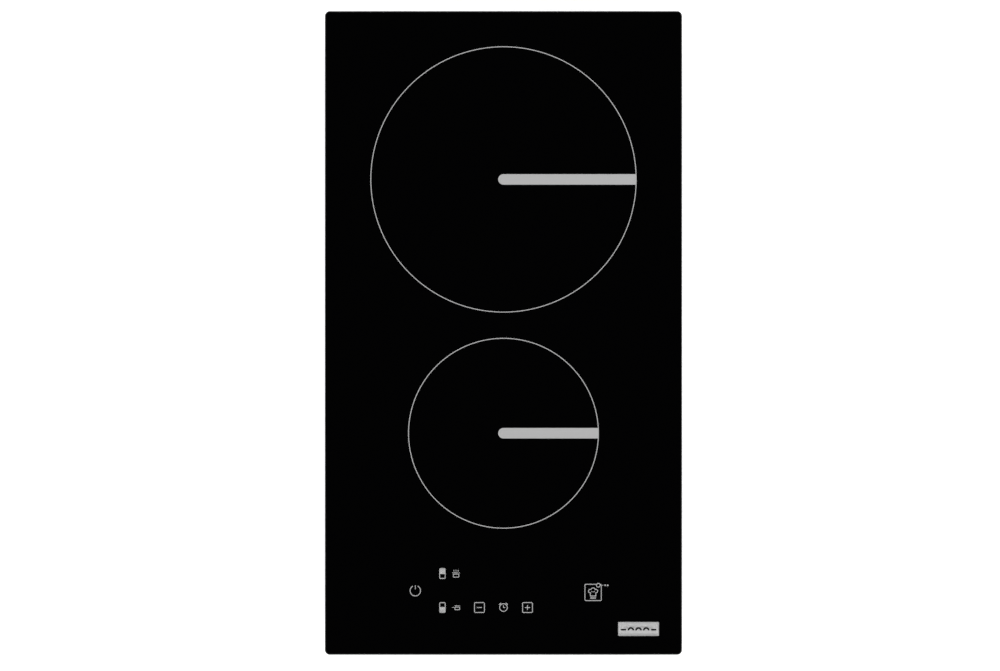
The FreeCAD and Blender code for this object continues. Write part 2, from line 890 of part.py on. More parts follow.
def make_glass():
    blank = Piece("glass_blank")
    SUBPARTS.remove(blank.body)
    face = blank.outline(offset=GLASS_UNDER)
    face.rectangle("0", "0", "glass_width", "glass_depth", "glass_corner")
    blank.add(face, "glass_thickness")
    blank.dress("Chamfer", "glass_bevel", lies_at("total_height", GLASS_UNDER))
    subpart(cut(blank.body, *prints), "glass_plate")


def frame_piece(label, level, height, width, depth, corner, border):
    """A closed frame: a rectangle with round corners that has the same, smaller, cut out of it."""
    piece = Piece(label)
    face = piece.outline(offset=level)
    face.rectangle("0", "0", width, depth, corner)
    face.rectangle("0", "0", f"{width} - 2 * {border}", f"{depth} - 2 * {border}", "1")
    piece.add(face, height)


make_glass()
frame_piece(
    "glass_gasket",
    f"{GLASS_UNDER} - gasket_thickness",
    "gasket_thickness",
    "(glass_width - 2 * gasket_inset)",
    "(glass_depth - 2 * gasket_inset)",
    "glass_corner - gasket_inset",
    "gasket_width",
)
frame_piece(
    "glass_adhesive",
    FLANGE_TOP,
    "adhesive_thickness",
    "(tray_width + 2 * flange_width)",
    "(tray_depth + 2 * flange_width)",
    "tray_corner + flange_width",
    "adhesive_width",
)

# ---------------------------------------------------------------- tray

CORNERS = [(1, 1), (-1, 1), (1, -1), (-1, -1)]  # right or left, rear or front
CARRIER_SCREWS = [(112, -135), (-112, -135), (112, 20), (-112, 20), (0, -150), (0, 122)]
BOX_SCREWS = [("box_left - box_flange / 2", "205"), ("box_left + box_width + box_flange / 2", "205")]
FAN_LUGS = [(1, 1), (-1, 1), (-1, -1)]


def fan_lug(side, back):
    return f"scroll_x + {side} * lug_offset", f"fan_y + {back} * lug_offset"


def make_tray():
    tray = Piece("tray")

    shell = tray.outline(offset="bead_depth")
    shell.rectangle("0", "0", "tray_width", "tray_depth", "tray_corner")
    tray.add(shell, f"{FLANGE_TOP} - bead_depth")
    tray.dress("Fillet", "bend_radius", lies_at("bead_depth"))

    flange = tray.outline(offset=f"{FLANGE_TOP} - sheet")
    flange.rectangle(
        "0", "0", "tray_width + 2 * flange_width", "tray_depth + 2 * flange_width",
        "tray_corner + flange_width"
    )
    tray.add(flange, "sheet")

    inside = tray.outline(offset=FLANGE_TOP)
    inside.rectangle("0", "0", "tray_width - 2 * sheet", "tray_depth - 2 * sheet", "tray_corner - sheet")
    tray.remove(inside, f"{FLANGE_TOP} - {FLOOR_TOP}")

    for side, back in CORNERS:
        roof = tray.outline(offset="bead_depth")
        roof.rectangle(
            f"{side} * (tray_width / 2 - (pocket_width + sheet) / 2)",
            f"{back} * pocket_y",
            "pocket_width + sheet",
            "pocket_length + 2 * sheet",
        )
        tray.add(roof, "pocket_height + sheet")
    for side, back in CORNERS:
        hollow = tray.outline(offset=POCKET_ROOF)
        hollow.rectangle(
            f"{side} * (tray_width / 2 - pocket_width / 2 + 1)",
            f"{back} * pocket_y",
            "pocket_width + 2",
            "pocket_length",
        )
        tray.remove(hollow, "pocket_height + 1")

    for side in (1, -1):
        runner = tray.outline()
        runner.slot(f"{side} * runner_x", "runner_y", "runner_length", "runner_width", along="y")
        tray.add(runner, "bead_depth + sheet / 2")
    for side in (1, -1):
        groove = tray.outline(offset=FLOOR_TOP)
        groove.slot(
            f"{side} * runner_x", "runner_y", "runner_length - 2 * sheet", "runner_width - 2 * sheet",
            along="y"
        )
        tray.remove(groove, "bead_depth")

    opening = tray.outline(offset="bead_depth + box_height + box_fit")
    opening.rectangle(
        BOX_MIDDLE,
        f"(box_front - box_fit + {TRAY_BACK} + 2) / 2",
        "box_width + 2 * box_fit",
        f"{TRAY_BACK} + 2 - box_front + box_fit",
    )
    tray.remove(opening, "box_height + box_fit + 1")

    exhaust = tray.outline("XZ_Plane", offset=TRAY_BACK)
    exhaust.slot(
        "-exhaust_pitch * (exhaust_slots - 1) / 2", "exhaust_level", "exhaust_height", "exhaust_width",
        along="y"
    )
    tray.remove(exhaust, "3").repeat_along(exhaust, "exhaust_slots", "exhaust_pitch")

    vent = tray.outline(offset=FLOOR_TOP)
    vent.slot(
        "-exhaust_pitch * (floor_slots - 1) / 2", "floor_slot_y", "floor_slot_length", "exhaust_width",
        along="y"
    )
    tray.remove(vent, "2").repeat_along(vent, "floor_slots", "exhaust_pitch")

    for ring, count in (("grille_inner", "grille_inner_slots"), ("grille_outer", "grille_slots")):
        grille = tray.outline(offset=FLOOR_TOP, origin=("fan_x", "fan_y"))
        grille.slot(f"{ring}_radius + {ring}_length / 2", "0", f"{ring}_length", "grille_width")
        tray.remove(grille, "2").repeat_round(grille, count)

    holes = tray.outline(offset=FLOOR_TOP)
    for x, y in [*CARRIER_SCREWS, *BOX_SCREWS, *[fan_lug(*lug) for lug in FAN_LUGS]]:
        holes.circle(f"{x}", f"{y}", "screw_hole")
    tray.remove(holes, "2")

    sockets = tray.outline(offset=f"{POCKET_ROOF} + sheet")
    for side, back in CORNERS:
        sockets.circle(f"{side} * clamp_x", f"{back} * clamp_y", "standoff_spigot")
    tray.remove(sockets, "2 * sheet")


make_tray()


def make_label():
    label = Piece("rating_label")
    face = label.outline(offset="bead_depth")
    face.rectangle("0", "label_y", "label_width", "label_depth", "label_corner")
    label.add(face, "label_thickness", reverse=True)


make_label()

# ---------------------------------------------------------------- worktop clamps

CLAMP_UNDER = f"({POCKET_ROOF} - clamp_clearance - clamp_sheet)"
CLAMP_SEAT = f"({CLAMP_UNDER} - 0.1)"


def make_clamp(label, side, back):
    """A strip bent down in a step, with a lip at its far end, that swings about the screw through its hub."""
    hub, low = CLAMP_UNDER, f"({CLAMP_UNDER} - clamp_drop)"
    profile = [
        ("-clamp_width / 2", hub),
        ("7.4", hub),
        ("15.4", low),
        ("clamp_reach", low),
        ("clamp_reach", f"{low} + clamp_sheet + clamp_lip"),
        ("clamp_reach - clamp_sheet", f"{low} + clamp_sheet + clamp_lip"),
        ("clamp_reach - clamp_sheet", f"{low} + clamp_sheet"),
        ("16", f"{low} + clamp_sheet"),
        ("8", f"{hub} + clamp_sheet"),
        ("-clamp_width / 2", f"{hub} + clamp_sheet"),
    ]
    clamp = Piece(label)
    strip = clamp.outline("YZ_Plane", offset=f"{side} * clamp_x", origin=(f"{back} * clamp_y", "0"))
    strip.polygon(*[(f"-{back} * ({run})", level) for run, level in profile])
    clamp.add(strip, "clamp_width", symmetric=True)
    heel = value(f"{back} * (clamp_y + clamp_width / 2)")
    toe = value(f"{back} * (clamp_y - clamp_reach)")
    clamp.dress("Fillet", "4", lambda box: box.ZLength > 1 and abs(box.YMin - heel) < 0.01 > box.YLength)
    clamp.dress("Fillet", "3", lambda box: box.ZLength > 3 and abs(box.YMin - toe) < 0.01 > box.YLength)
    hole = clamp.outline(offset=POCKET_ROOF)
    hole.circle(f"{side} * clamp_x", f"{back} * clamp_y", "clamp_hole_radius")
    clamp.remove(hole, "3")


make_clamp("rear_right_clamp", 1, 1)
make_clamp("rear_left_clamp", -1, 1)
make_clamp("front_right_clamp", 1, -1)
make_clamp("front_left_clamp", -1, -1)


def make_clamp_mounts():
    screws = []
    standoffs = []
    for side, back in CORNERS:
        x, y = f"{side} * clamp_x", f"{back} * clamp_y"
        size = ("clamp_screw_length", "clamp_screw_radius", "clamp_head_radius", "clamp_head_height")
        screws.append(screw(x, y, CLAMP_SEAT, *size))
        hexagon = doc.addObject("Part::Prism", "Hexagon")
        hexagon.Polygon = 6
        bind(hexagon, "Circumradius", "standoff_radius / cos(30 deg)")
        bind(hexagon, "Height", f"plate_level - {POCKET_ROOF} - sheet")
        place(hexagon, x, y, f"{POCKET_ROOF} + sheet")
        post = fuse(hexagon, rod(x, y, POCKET_ROOF, "standoff_spigot", "2 * sheet"))
        low_bore = rod(x, y, POCKET_ROOF, "clamp_screw_radius", "clamp_screw_length - 1.5")
        high_bore = rod(x, y, "plate_level - 7", "screw_radius", "7")
        standoffs.append(cut(post, low_bore, high_bore))
    subpart(group(*screws), "clamp_screws")
    subpart(group(*standoffs), "corner_standoffs")


make_clamp_mounts()

# ---------------------------------------------------------------- coil plate and coils

COLUMNS = [(f"{side} * column_x", y) for side in (1, -1) for y in ("column_front_y", "column_rear_y")]
STANDOFFS = [(f"{side} * clamp_x", f"{back} * clamp_y") for side, back in CORNERS]


def make_coil_plate():
    plate = Piece("coil_plate")
    outer = plate.outline(offset="plate_level")
    outer.rectangle("0", "0", "plate_width", "plate_depth", "plate_corner")
    plate.add(outer, "plate_sheet + plate_rim")
    inner = plate.outline(offset=f"{PLATE_TOP} + plate_rim")
    inner.rectangle(
        "0", "0", "plate_width - 2 * plate_sheet", "plate_depth - 2 * plate_sheet",
        "plate_corner - plate_sheet"
    )
    plate.remove(inner, "plate_rim")
    for zone in ("rear", "front"):
        peg = plate.outline(offset=PLATE_TOP, origin=("0", f"{zone}_zone_y"))
        peg.circle(f"{zone}_peg_radius", "0", "peg_hole_radius")
        plate.remove(peg, "2").repeat_round(peg, "4")
        vent = plate.outline(offset=PLATE_TOP, origin=("0", f"{zone}_zone_y"))
        vent.circle(f"{zone}_vent_offset", f"{zone}_vent_offset", f"{zone}_vent_radius")
        plate.remove(vent, "2").repeat_round(vent, "4")
    openings = plate.outline(offset=PLATE_TOP)
    for y in ("rear_slot_y", "front_slot_y"):
        openings.slot("lead_slot_x", y, "lead_slot_length", "lead_slot_width", along="y")
    openings.slot("ribbon_x", "-168", "ribbon_width + 8", "10")
    for x, y in [*COLUMNS, *STANDOFFS]:
        openings.circle(x, y, "screw_hole")
    plate.remove(openings, "2")


make_coil_plate()


def make_former(zone):
    """The dish that carries a winding, with a rim, and four pegs that slide in holes of the coil plate."""
    former = Piece(f"{zone}_coil_former")
    centre = ("0", f"{zone}_zone_y")
    radius = f"{zone}_former_radius"
    disc = former.outline(offset="former_level", origin=centre)
    disc.circle("0", "0", radius)
    disc.circle("0", "0", "former_bore")
    former.add(disc, "former_thickness")
    rim = former.outline(offset=WINDING_UNDER, origin=centre)
    rim.circle("0", "0", radius)
    rim.circle("0", "0", f"{radius} - former_wall")
    former.add(rim, "former_rim")
    peg = former.outline(offset="former_level", origin=centre)
    peg.circle(f"{zone}_peg_radius", "0", "peg_radius")
    former.add(peg, "peg_length", reverse=True).repeat_round(peg, "4")
    window = former.outline(offset=WINDING_UNDER, origin=centre)
    window.rectangle(f"{zone}_coil_inner + 1", "-3", "7", "6", "1.5")
    former.remove(window, "former_thickness + 1")
    notch = former.outline(offset=f"{WINDING_UNDER} + former_rim", origin=centre)
    notch.rectangle(f"{radius} - 1", "11", "8", "12")
    former.remove(notch, "former_rim")


def make_winding(zone):
    """A flat spiral of stranded wire. Half turns about two centres, half a pitch apart, make it up."""
    inner, y = value(f"{zone}_coil_inner"), value(f"{zone}_zone_y")
    pitch = value("litz_pitch")
    level = value(f"{WINDING_UNDER} + litz_radius")
    section = Part.Wire(Part.makeCircle(value("litz_radius"), V(inner, y, level), V(0, 1, 0)))
    centres = (V(0, y, level), V(pitch / 2, y, level))
    turns = range(int(value(f"{zone}_half_turns")))
    formed(f"{zone}_coil_winding", [swept(section, [(centres[k % 2], V(0, 0, 1), 180) for k in turns])])
    return inner + pitch * len(turns) / 2


def make_ferrites(zone):
    bars = []
    for k in range(int(value("ferrite_bars"))):
        bar = block(
            f"{zone}_ferrite_start", "-ferrite_width / 2", "former_level - ferrite_height",
            f"{zone}_ferrite_length", "ferrite_width", "ferrite_height"
        )
        bars.append(turned(bar, (k + 0.5) * 360 / value("ferrite_bars"), "0", f"{zone}_zone_y"))
    subpart(group(*bars), f"{zone}_coil_ferrites")


def make_insulation(zone):
    under = f"({WINDING_UNDER} + 2 * litz_radius + mat_gap)"
    height = f"{GLASS_UNDER} - mat_clearance - {under}"
    y, radius = f"{zone}_zone_y", f"{zone}_former_radius - former_wall - 0.4"
    mat = cut(rod("0", y, under, radius, height), rod("0", y, under, "mat_bore", height))
    subpart(mat, f"{zone}_coil_insulation")


def make_sensor(zone):
    sensor = Piece(f"{zone}_temperature_sensor")
    half = sensor.outline("XZ_Plane", offset=f"-{zone}_zone_y")
    top = f"{GLASS_UNDER} - mat_clearance"
    half.polygon(
        ("0", "former_level - 2"), ("15", "former_level - 2"), ("15", "former_level"),
        ("11.5", "former_level"), ("11.5", "former_level + 5"), ("8", "former_level + 5"), ("8", top),
        ("0", top)
    )
    sensor.spin(half)


def coil_spring(x, y, low, high, radius, wire, pitch):
    """A helical spring of round wire between two levels."""
    helix = doc.addObject("Part::Helix", "Helix")
    bind(helix, "Pitch", pitch)
    bind(helix, "Height", f"({high}) - ({low}) - 2 * {wire}")
    bind(helix, "Radius", radius)
    helix.SegmentLength = 0.25
    section = doc.addObject("Part::Circle", "Section")
    bind(section, "Radius", wire)
    section.Placement = FreeCAD.Placement(V(0, 0, 0), FreeCAD.Rotation(V(1, 0, 0), 90))
    bind(section, "Placement.Base.x", radius)
    spring = doc.addObject("Part::Sweep", "Spring")
    spring.Sections = [section]
    spring.Spine = (helix, [])
    spring.Solid = True
    spring.Frenet = True
    holder = doc.addObject("Part::Compound", "Placed")
    holder.Links = [spring]
    place(holder, x, y, f"({low}) + {wire}")
    return holder


def make_coil_springs(zone):
    size = (PLATE_TOP, "former_level", "spring_radius", "spring_wire", "spring_pitch")
    ways = ((1, 0), (0, 1), (-1, 0), (0, -1))
    spots = [(f"{u} * {zone}_peg_radius", f"{zone}_zone_y + {v} * {zone}_peg_radius") for u, v in ways]
    subpart(group(*[coil_spring(x, y, *size) for x, y in spots]), f"{zone}_coil_springs")


LEAD_LEVEL = 24.0
TERMINAL_FACE = 104.0
TERMINAL_DEPTH = 4.0
TERMINAL_ROWS = {"rear": (90.0, 102.0), "front": (-71.0, -59.0)}  # for the inner and the outer lead


def make_leads(zone, outer_x):
    """The inner end runs down through the former's window and out under it, the outer end over its rim."""
    y, x0 = value(f"{zone}_zone_y"), value(f"{zone}_coil_inner")
    level, x1 = value(f"{WINDING_UNDER} + litz_radius"), value("lead_slot_x")
    under = value("former_level - 2.1")
    row_in, row_out = TERMINAL_ROWS[zone]
    end = TERMINAL_FACE - TERMINAL_DEPTH
    inner = [(x0, y, level), (x0, y - 2.8, level), (x0, y - 2.8, under), (x1, y - 20, under)]
    inner += [(x1, row_in, LEAD_LEVEL), (end, row_in, LEAD_LEVEL)]
    outer = [(outer_x, y, level), (outer_x, y + 14, level), (x1, y + 14, level)]
    outer += [(x1, row_out, LEAD_LEVEL), (end, row_out, LEAD_LEVEL)]
    print(f"{zone} coil leads")
    formed(f"{zone}_coil_leads", [round_lead(path, value("lead_radius")) for path in (inner, outer)])


for zone in ("rear", "front"):
    make_former(zone)
    outer_end = make_winding(zone)
    make_ferrites(zone)
    make_insulation(zone)
    make_sensor(zone)
    make_coil_springs(zone)
    make_leads(zone, outer_end)

# ---------------------------------------------------------------- board carrier and power board

CARRIER_TOP = f"({FLOOR_TOP} + carrier_base)"
BOARD_SCREWS = [
    (f"{side} * boss_x", f"board_y + {row} * boss_reach") for side in (1, -1) for row in (-1, 0, 1)
]


def make_carrier():
    carrier = Piece("board_carrier")
    base = carrier.outline(offset=FLOOR_TOP)
    base.rectangle("0", "carrier_y", "carrier_width", "carrier_depth", "3")
    carrier.add(base, "carrier_base")
    for spots, radius, top, bore, bored_to in (
        (COLUMNS, "column_radius", "plate_level", "screw_radius", "plate_level - 8"),
        (BOARD_SCREWS, "boss_radius", "board_level", "screw_radius", CARRIER_TOP),
        (CARRIER_SCREWS, "boss_radius", f"{CARRIER_TOP} + 3.7", "screw_radius", "bead_depth"),
    ):
        posts = carrier.outline(offset=CARRIER_TOP)
        bores = carrier.outline(offset=top)
        for x, y in spots:
            posts.circle(f"{x}", f"{y}", radius)
            bores.circle(f"{x}", f"{y}", bore)
        carrier.add(posts, f"{top} - {CARRIER_TOP}")
        carrier.remove(bores, f"{top} - ({bored_to})")


def make_power_board():
    board = Piece("power_board")
    face = board.outline(offset="board_level")
    face.rectangle("0", "board_y", "board_width", "board_depth", "2")
    for x, y in BOARD_SCREWS:
        face.circle(x, y, "screw_hole")
    board.add(face, "board_thickness")


def make_heat_sink():
    sink = Piece("heat_sink")
    left = "(sink_x - sink_width / 2)"
    base = sink.outline(offset=BOARD_TOP)
    base.rectangle("sink_x", "sink_y", "sink_width", "sink_length")
    sink.add(base, "sink_base")
    wall = sink.outline(offset=BOARD_TOP)
    wall.rectangle("sink_x + sink_width / 2 - fin_wall / 2", "sink_y", "fin_wall", "sink_length")
    sink.add(wall, "sink_height")
    fin = sink.outline(offset=BOARD_TOP)
    fin.rectangle(f"{left} + fin_thickness / 2", "sink_y", "fin_thickness", "sink_length")
    sink.add(fin, "sink_height")
    sink.repeat_along(fin, "fins", "(sink_width - fin_wall - fin_thickness) / fins")


def make_semiconductors():
    """Three transistors and a bridge rectifier in upright packages against the heat sink's wall."""
    wall = "(sink_x + sink_width / 2)"
    packages = []
    for y in (24, 47, 70, 93):
        case = block(
            wall, f"{y} - package_width / 2", f"{BOARD_TOP} + package_stand", "package_depth",
            "package_width", "package_height"
        )
        legs = [
            centred_block(f"{wall} + 2.4", f"{y} + {k} * 5.4", BOARD_TOP, "0.8", "1.3", "package_stand + 1")
            for k in (-1, 0, 1)
        ]
        packages.append(fuse(case, *legs))
    subpart(group(*packages), "power_semiconductors")


def make_capacitors():
    films = [centred_block("24", f"{y}", BOARD_TOP, "34", "14", "component_height") for y in (20, 42, 64)]
    subpart(group(*films), "film_capacitors")
    cans = []
    for y in (20, 38, 56):
        can = rod("62", f"{y}", BOARD_TOP, "6.5", "component_height")
        groove = cut(
            rod("62", f"{y}", f"{BOARD_TOP} + 1.6", "7", "0.8"), rod("62", f"{y}", BOARD_TOP, "6.1", "4")
        )
        cans.append(cut(can, groove))
    subpart(group(*cans), "electrolytic_capacitors")


def make_choke():
    """A toroid core on a base, with its two windings as ribbed sleeves."""
    core = doc.addObject("Part::Torus", "Torus")
    core.Radius1 = 12
    core.Radius2 = 4
    place(core, "70", "84", f"{BOARD_TOP} + 6")
    base = centred_block("70", "84", BOARD_TOP, "30", "30", "2.4")
    turns = []
    for k in range(18):
        angle = math.radians(20 + k % 9 * 17.5 + k // 9 * 180)
        x, y = f"70 + {12 * math.cos(angle):.4f}", f"84 + {12 * math.sin(angle):.4f}"
        loop = doc.addObject("Part::Torus", "Torus")
        loop.Radius1 = 4.3
        loop.Radius2 = 0.7
        around = FreeCAD.Rotation(V(0, 0, 1), V(-math.sin(angle), math.cos(angle), 0))
        loop.Placement = FreeCAD.Placement(V(0, 0, 0), around)
        place(loop, x, y, f"{BOARD_TOP} + 6")
        turns.append(loop)
    subpart(fuse(core, base, *turns), "filter_choke")


def make_transformer():
    core = centred_block("-88", "60", BOARD_TOP, "26", "8", "component_height")
    bobbin = centred_block("-88", "60", f"{BOARD_TOP} + 2.5", "17", "20", "10")
    base = centred_block("-88", "60", BOARD_TOP, "22", "20", "2")
    subpart(fuse(core, bobbin, base), "supply_transformer")


def make_chips():
    chips = []
    for x in (-80, -40, 0):
        body = centred_block(f"{x}", "-50", f"{BOARD_TOP} + 0.4", "16", "9", "2.2")
        pins = [
            centred_block(f"{x} + {(k - 3.5) * 2}", "-50", BOARD_TOP, "0.6", "12", "0.8") for k in range(8)
        ]
        chips.append(fuse(body, *pins))
    subpart(group(*chips), "control_chips")


def make_coil_terminals():
    height = f"{LEAD_LEVEL} + 4 - {BOARD_TOP}"
    face, depth = TERMINAL_FACE, TERMINAL_DEPTH
    blocks = []
    for y in [row for rows in TERMINAL_ROWS.values() for row in rows]:
        post = block(f"{face} - 10", f"{y} - 4", BOARD_TOP, "10", "8", height)
        bore = rod(f"{face} - {depth}", f"{y}", f"{LEAD_LEVEL}", "lead_radius", f"{depth}", along="x")
        blocks.append(cut(post, bore))
    subpart(group(*blocks), "coil_terminals")


make_carrier()
make_power_board()
make_heat_sink()
make_semiconductors()
make_capacitors()
make_choke()
make_transformer()
make_chips()
make_coil_terminals()

# ---------------------------------------------------------------- blower

HOUSING_TOP = f"({SCROLL_TOP} - scroll_wall)"
SCROLL = ("scroll_x", "fan_y")
OUTLET_X = "scroll_radius - outlet_width / 2"
TUBE_UNDER = "(wheel_level + 2.6)"


def make_fan_housing():
    housing = Piece("fan_housing")
    height = f"{HOUSING_TOP} - {FLOOR_TOP}"
    scroll = housing.outline(offset=FLOOR_TOP, origin=SCROLL)
    scroll.circle("0", "0", "scroll_radius")
    housing.add(scroll, height)
    outlet = housing.outline(offset=FLOOR_TOP, origin=SCROLL)
    outlet.rectangle(OUTLET_X, "-outlet_reach / 2", "outlet_width", "outlet_reach")
    housing.add(outlet, height)
    lugs = housing.outline(offset=FLOOR_TOP, origin=SCROLL)
    for side, back in FAN_LUGS:
        lugs.circle(f"{side} * lug_offset", f"{back} * lug_offset", "lug_radius")
    housing.add(lugs, "lug_height")
    depth = f"{height} - scroll_wall"
    hollow = housing.outline(offset=HOUSING_TOP, origin=SCROLL)
    hollow.circle("0", "0", "scroll_radius - scroll_wall")
    housing.remove(hollow, depth)
    duct = housing.outline(offset=HOUSING_TOP, origin=SCROLL)
    duct.rectangle(
        OUTLET_X, "-(outlet_reach + 2) / 2", "outlet_width - 2 * scroll_wall", "outlet_reach + 2"
    )
    housing.remove(duct, depth)
    inlet = housing.outline(offset=f"{FLOOR_TOP} + scroll_wall", origin=("fan_x", "fan_y"))
    inlet.circle("0", "0", "inlet_radius")
    housing.remove(inlet, "2 * scroll_wall")
    bores = housing.outline(offset=f"{FLOOR_TOP} + lug_height - 1", origin=SCROLL)
    for side, back in FAN_LUGS:
        bores.circle(f"{side} * lug_offset", f"{back} * lug_offset", "screw_radius")
    housing.remove(bores, "lug_height")


def make_fan_cover():
    """The housing's lid, from which the tube with the bearings and the stator hangs."""
    cover = Piece("fan_cover")
    disc = cover.outline(offset=HOUSING_TOP, origin=SCROLL)
    disc.circle("0", "0", "scroll_radius")
    cover.add(disc, "scroll_wall")
    outlet = cover.outline(offset=HOUSING_TOP, origin=SCROLL)
    outlet.rectangle(OUTLET_X, "-outlet_reach / 2", "outlet_width", "outlet_reach")
    cover.add(outlet, "scroll_wall")
    tube = cover.outline(offset=HOUSING_TOP, origin=("fan_x", "fan_y"))
    tube.circle("0", "0", "tube_radius")
    tube.circle("0", "0", "bearing_radius")
    cover.add(tube, f"{HOUSING_TOP} - {TUBE_UNDER}", reverse=True)


def make_fan_rotor():
    """A cup that holds the magnet, with a back plate whose blades a ring joins at the inlet side."""
    rotor = Piece("fan_rotor")
    centre = ("fan_x", "fan_y")
    top = "(wheel_level + wheel_height)"
    inner = "hub_radius - hub_wall"
    cup = rotor.outline("XZ_Plane", offset="-fan_y", origin=("fan_x", "0"))
    cup.polygon(
        ("shaft_radius", "wheel_level"), ("hub_radius", "wheel_level"), ("hub_radius", f"{top} - 1.5"),
        ("wheel_radius", f"{top} - 1.5"), ("wheel_radius", top), (inner, top), (inner, "wheel_level + 1.5"),
        ("3.4", "wheel_level + 1.5"), ("3.4", "wheel_level + 2.2"), ("shaft_radius", "wheel_level + 2.2")
    )
    rotor.spin(cup)
    blade = rotor.outline(offset="wheel_level", origin=centre)
    tip = "wheel_radius - 0.4"
    blade.polygon(
        ("wheel_inner", "0"), (tip, "blade_lean"), (tip, "blade_lean + blade_thickness"),
        ("wheel_inner", "blade_thickness")
    )
    rotor.add(blade, "wheel_height - 1").repeat_round(blade, "blades")
    ring = rotor.outline(offset="wheel_level", origin=centre)
    ring.circle("0", "0", "wheel_radius")
    ring.circle("0", "0", "wheel_radius - 3")
    rotor.add(ring, "1")


def make_fan_motor():
    x, y = "fan_x", "fan_y"
    shaft_low = "wheel_level"
    shaft_high = f"{HOUSING_TOP} - 0.4"
    subpart(rod(x, y, shaft_low, "shaft_radius", f"{shaft_high} - {shaft_low}"), "fan_shaft")
    outer = "hub_radius - hub_wall"
    magnet = cut(
        rod(x, y, "wheel_level + 2", outer, "9"),
        rod(x, y, "wheel_level + 2", f"{outer} - magnet_thickness", "9"),
    )
    subpart(magnet, "fan_magnet")
    sleeves = [
        cut(rod(x, y, level, "bearing_radius", "3"), rod(x, y, level, "bearing_bore", "3"))
        for level in (TUBE_UNDER, f"{HOUSING_TOP} - 3")
    ]
    subpart(group(*sleeves), "fan_bearings")
    low = "wheel_level + 3.5"
    poles = []
    for k in range(4):
        pole = centred_block("7.6", "0", low, "5.6", "3.6", "stator_height")
        shoe = common(
            centred_block("9.4", "0", low, "3", "12", "stator_height"),
            cut(
                rod("0", "0", low, "stator_radius", "stator_height"),
                rod("0", "0", low, "stator_radius - 1.2", "stator_height"),
            ),
        )
        coil = centred_block("7", "0", f"{low} - 0.8", "3.4", "6", "stator_height + 1.6")
        poles.append(turned(fuse(pole, shoe, coil), 90 * k, x, y))
    collar = cut(
        rod(x, y, low, "5.4", "stator_height"), rod(x, y, low, "tube_radius", "stator_height")
    )
    subpart(fuse(collar, *poles), "fan_stator")


make_fan_housing()
make_fan_cover()
make_fan_rotor()
make_fan_motor()

# ---------------------------------------------------------------- touch module

TOUCH_KEYS = [
    ("power_x", "power_y"),
    ("selector_x", "rear_row_y"),
    ("selector_x", "key_row_y"),
    ("-key_pitch", "key_row_y"),
    ("0", "key_row_y"),
    ("key_pitch", "key_row_y"),
    ("chef_x", "chef_y"),
]


def make_touch_carrier():
    carrier = Piece("touch_carrier")
    width, depth = "touch_width", "touch_depth"
    outer = carrier.outline(offset=PLATE_TOP)
    outer.rectangle("touch_x", "touch_y", f"{width} + 2 * touch_frame", f"{depth} + 2 * touch_frame", "3")
    carrier.add(outer, f"{TOUCH_TOP} - {PLATE_TOP}")
    seat = carrier.outline(offset=TOUCH_TOP)
    seat.rectangle("touch_x", "touch_y", width, depth)
    carrier.remove(seat, "board_thickness")
    ribbon_gap = carrier.outline(offset=TOUCH_TOP)
    ribbon_gap.rectangle("ribbon_x", "touch_y + touch_depth / 2 + 1", "ribbon_width + 2", "12")
    carrier.remove(ribbon_gap, "board_thickness")
    hollow = carrier.outline(offset="touch_level")
    hollow.rectangle("touch_x", "touch_y", f"{width} - 8", f"{depth} - 8", "3")
    carrier.remove(hollow, f"touch_level - {PLATE_TOP} - 1.5")


def make_touch_parts():
    board = centred_block(
        "touch_x", "touch_y", "touch_level", "touch_width", "touch_depth", "board_thickness"
    )
    subpart(board, "touch_board")
    size = (TOUCH_TOP, GLASS_UNDER, "touch_spring_radius", "touch_spring_wire", "touch_spring_pitch")
    subpart(group(*[coil_spring(x, y, *size) for x, y in TOUCH_KEYS]), "touch_springs")
    displays = [
        centred_block(
            f"{side} * display_x", "display_y", TOUCH_TOP, "display_width", "display_depth", "display_height"
        )
        for side in (-1, 1)
    ]
    subpart(group(*displays), "display_modules")


def make_ribbon():
    """A flat cable from the touch board, down through the coil plate, to the power board."""
    x, half = value("ribbon_x"), value("ribbon_width") / 2
    thick = value("ribbon_thickness") / 2
    high, low = value(TOUCH_TOP) + thick, value(BOARD_TOP) + thick
    points = [(x, -186, high), (x, -166, high), (x, -166, low), (x, -76, low)]

    def section(at, _way):
        corners = ((-half, -thick), (half, -thick), (half, thick), (-half, thick), (-half, -thick))
        return Part.makePolygon([at + V(u, 0, v) for u, v in corners])

    print("ribbon cable")
    solid, length = along_points(points, section)
    expected = 4 * half * thick * length
    if abs(solid.Volume - expected) > 1e-3 * expected:
        raise ValueError("the ribbon's volume isn't its section times its length")
    formed("ribbon_cable", [solid])


make_touch_carrier()
make_touch_parts()
make_ribbon()

# ---------------------------------------------------------------- terminal box

LID_TOP = "(bead_depth + lid_thickness)"
MAINS_X = (44.0, 56.0, 68.0)
MAINS_LEVEL = 26.0
BLOCK_UNDER = f"({BOX_ROOF} - block_height)"
POLES = [f"({BOX_MIDDLE} + {k} * terminal_pitch)" for k in (-2, -1, 0, 1, 2)]


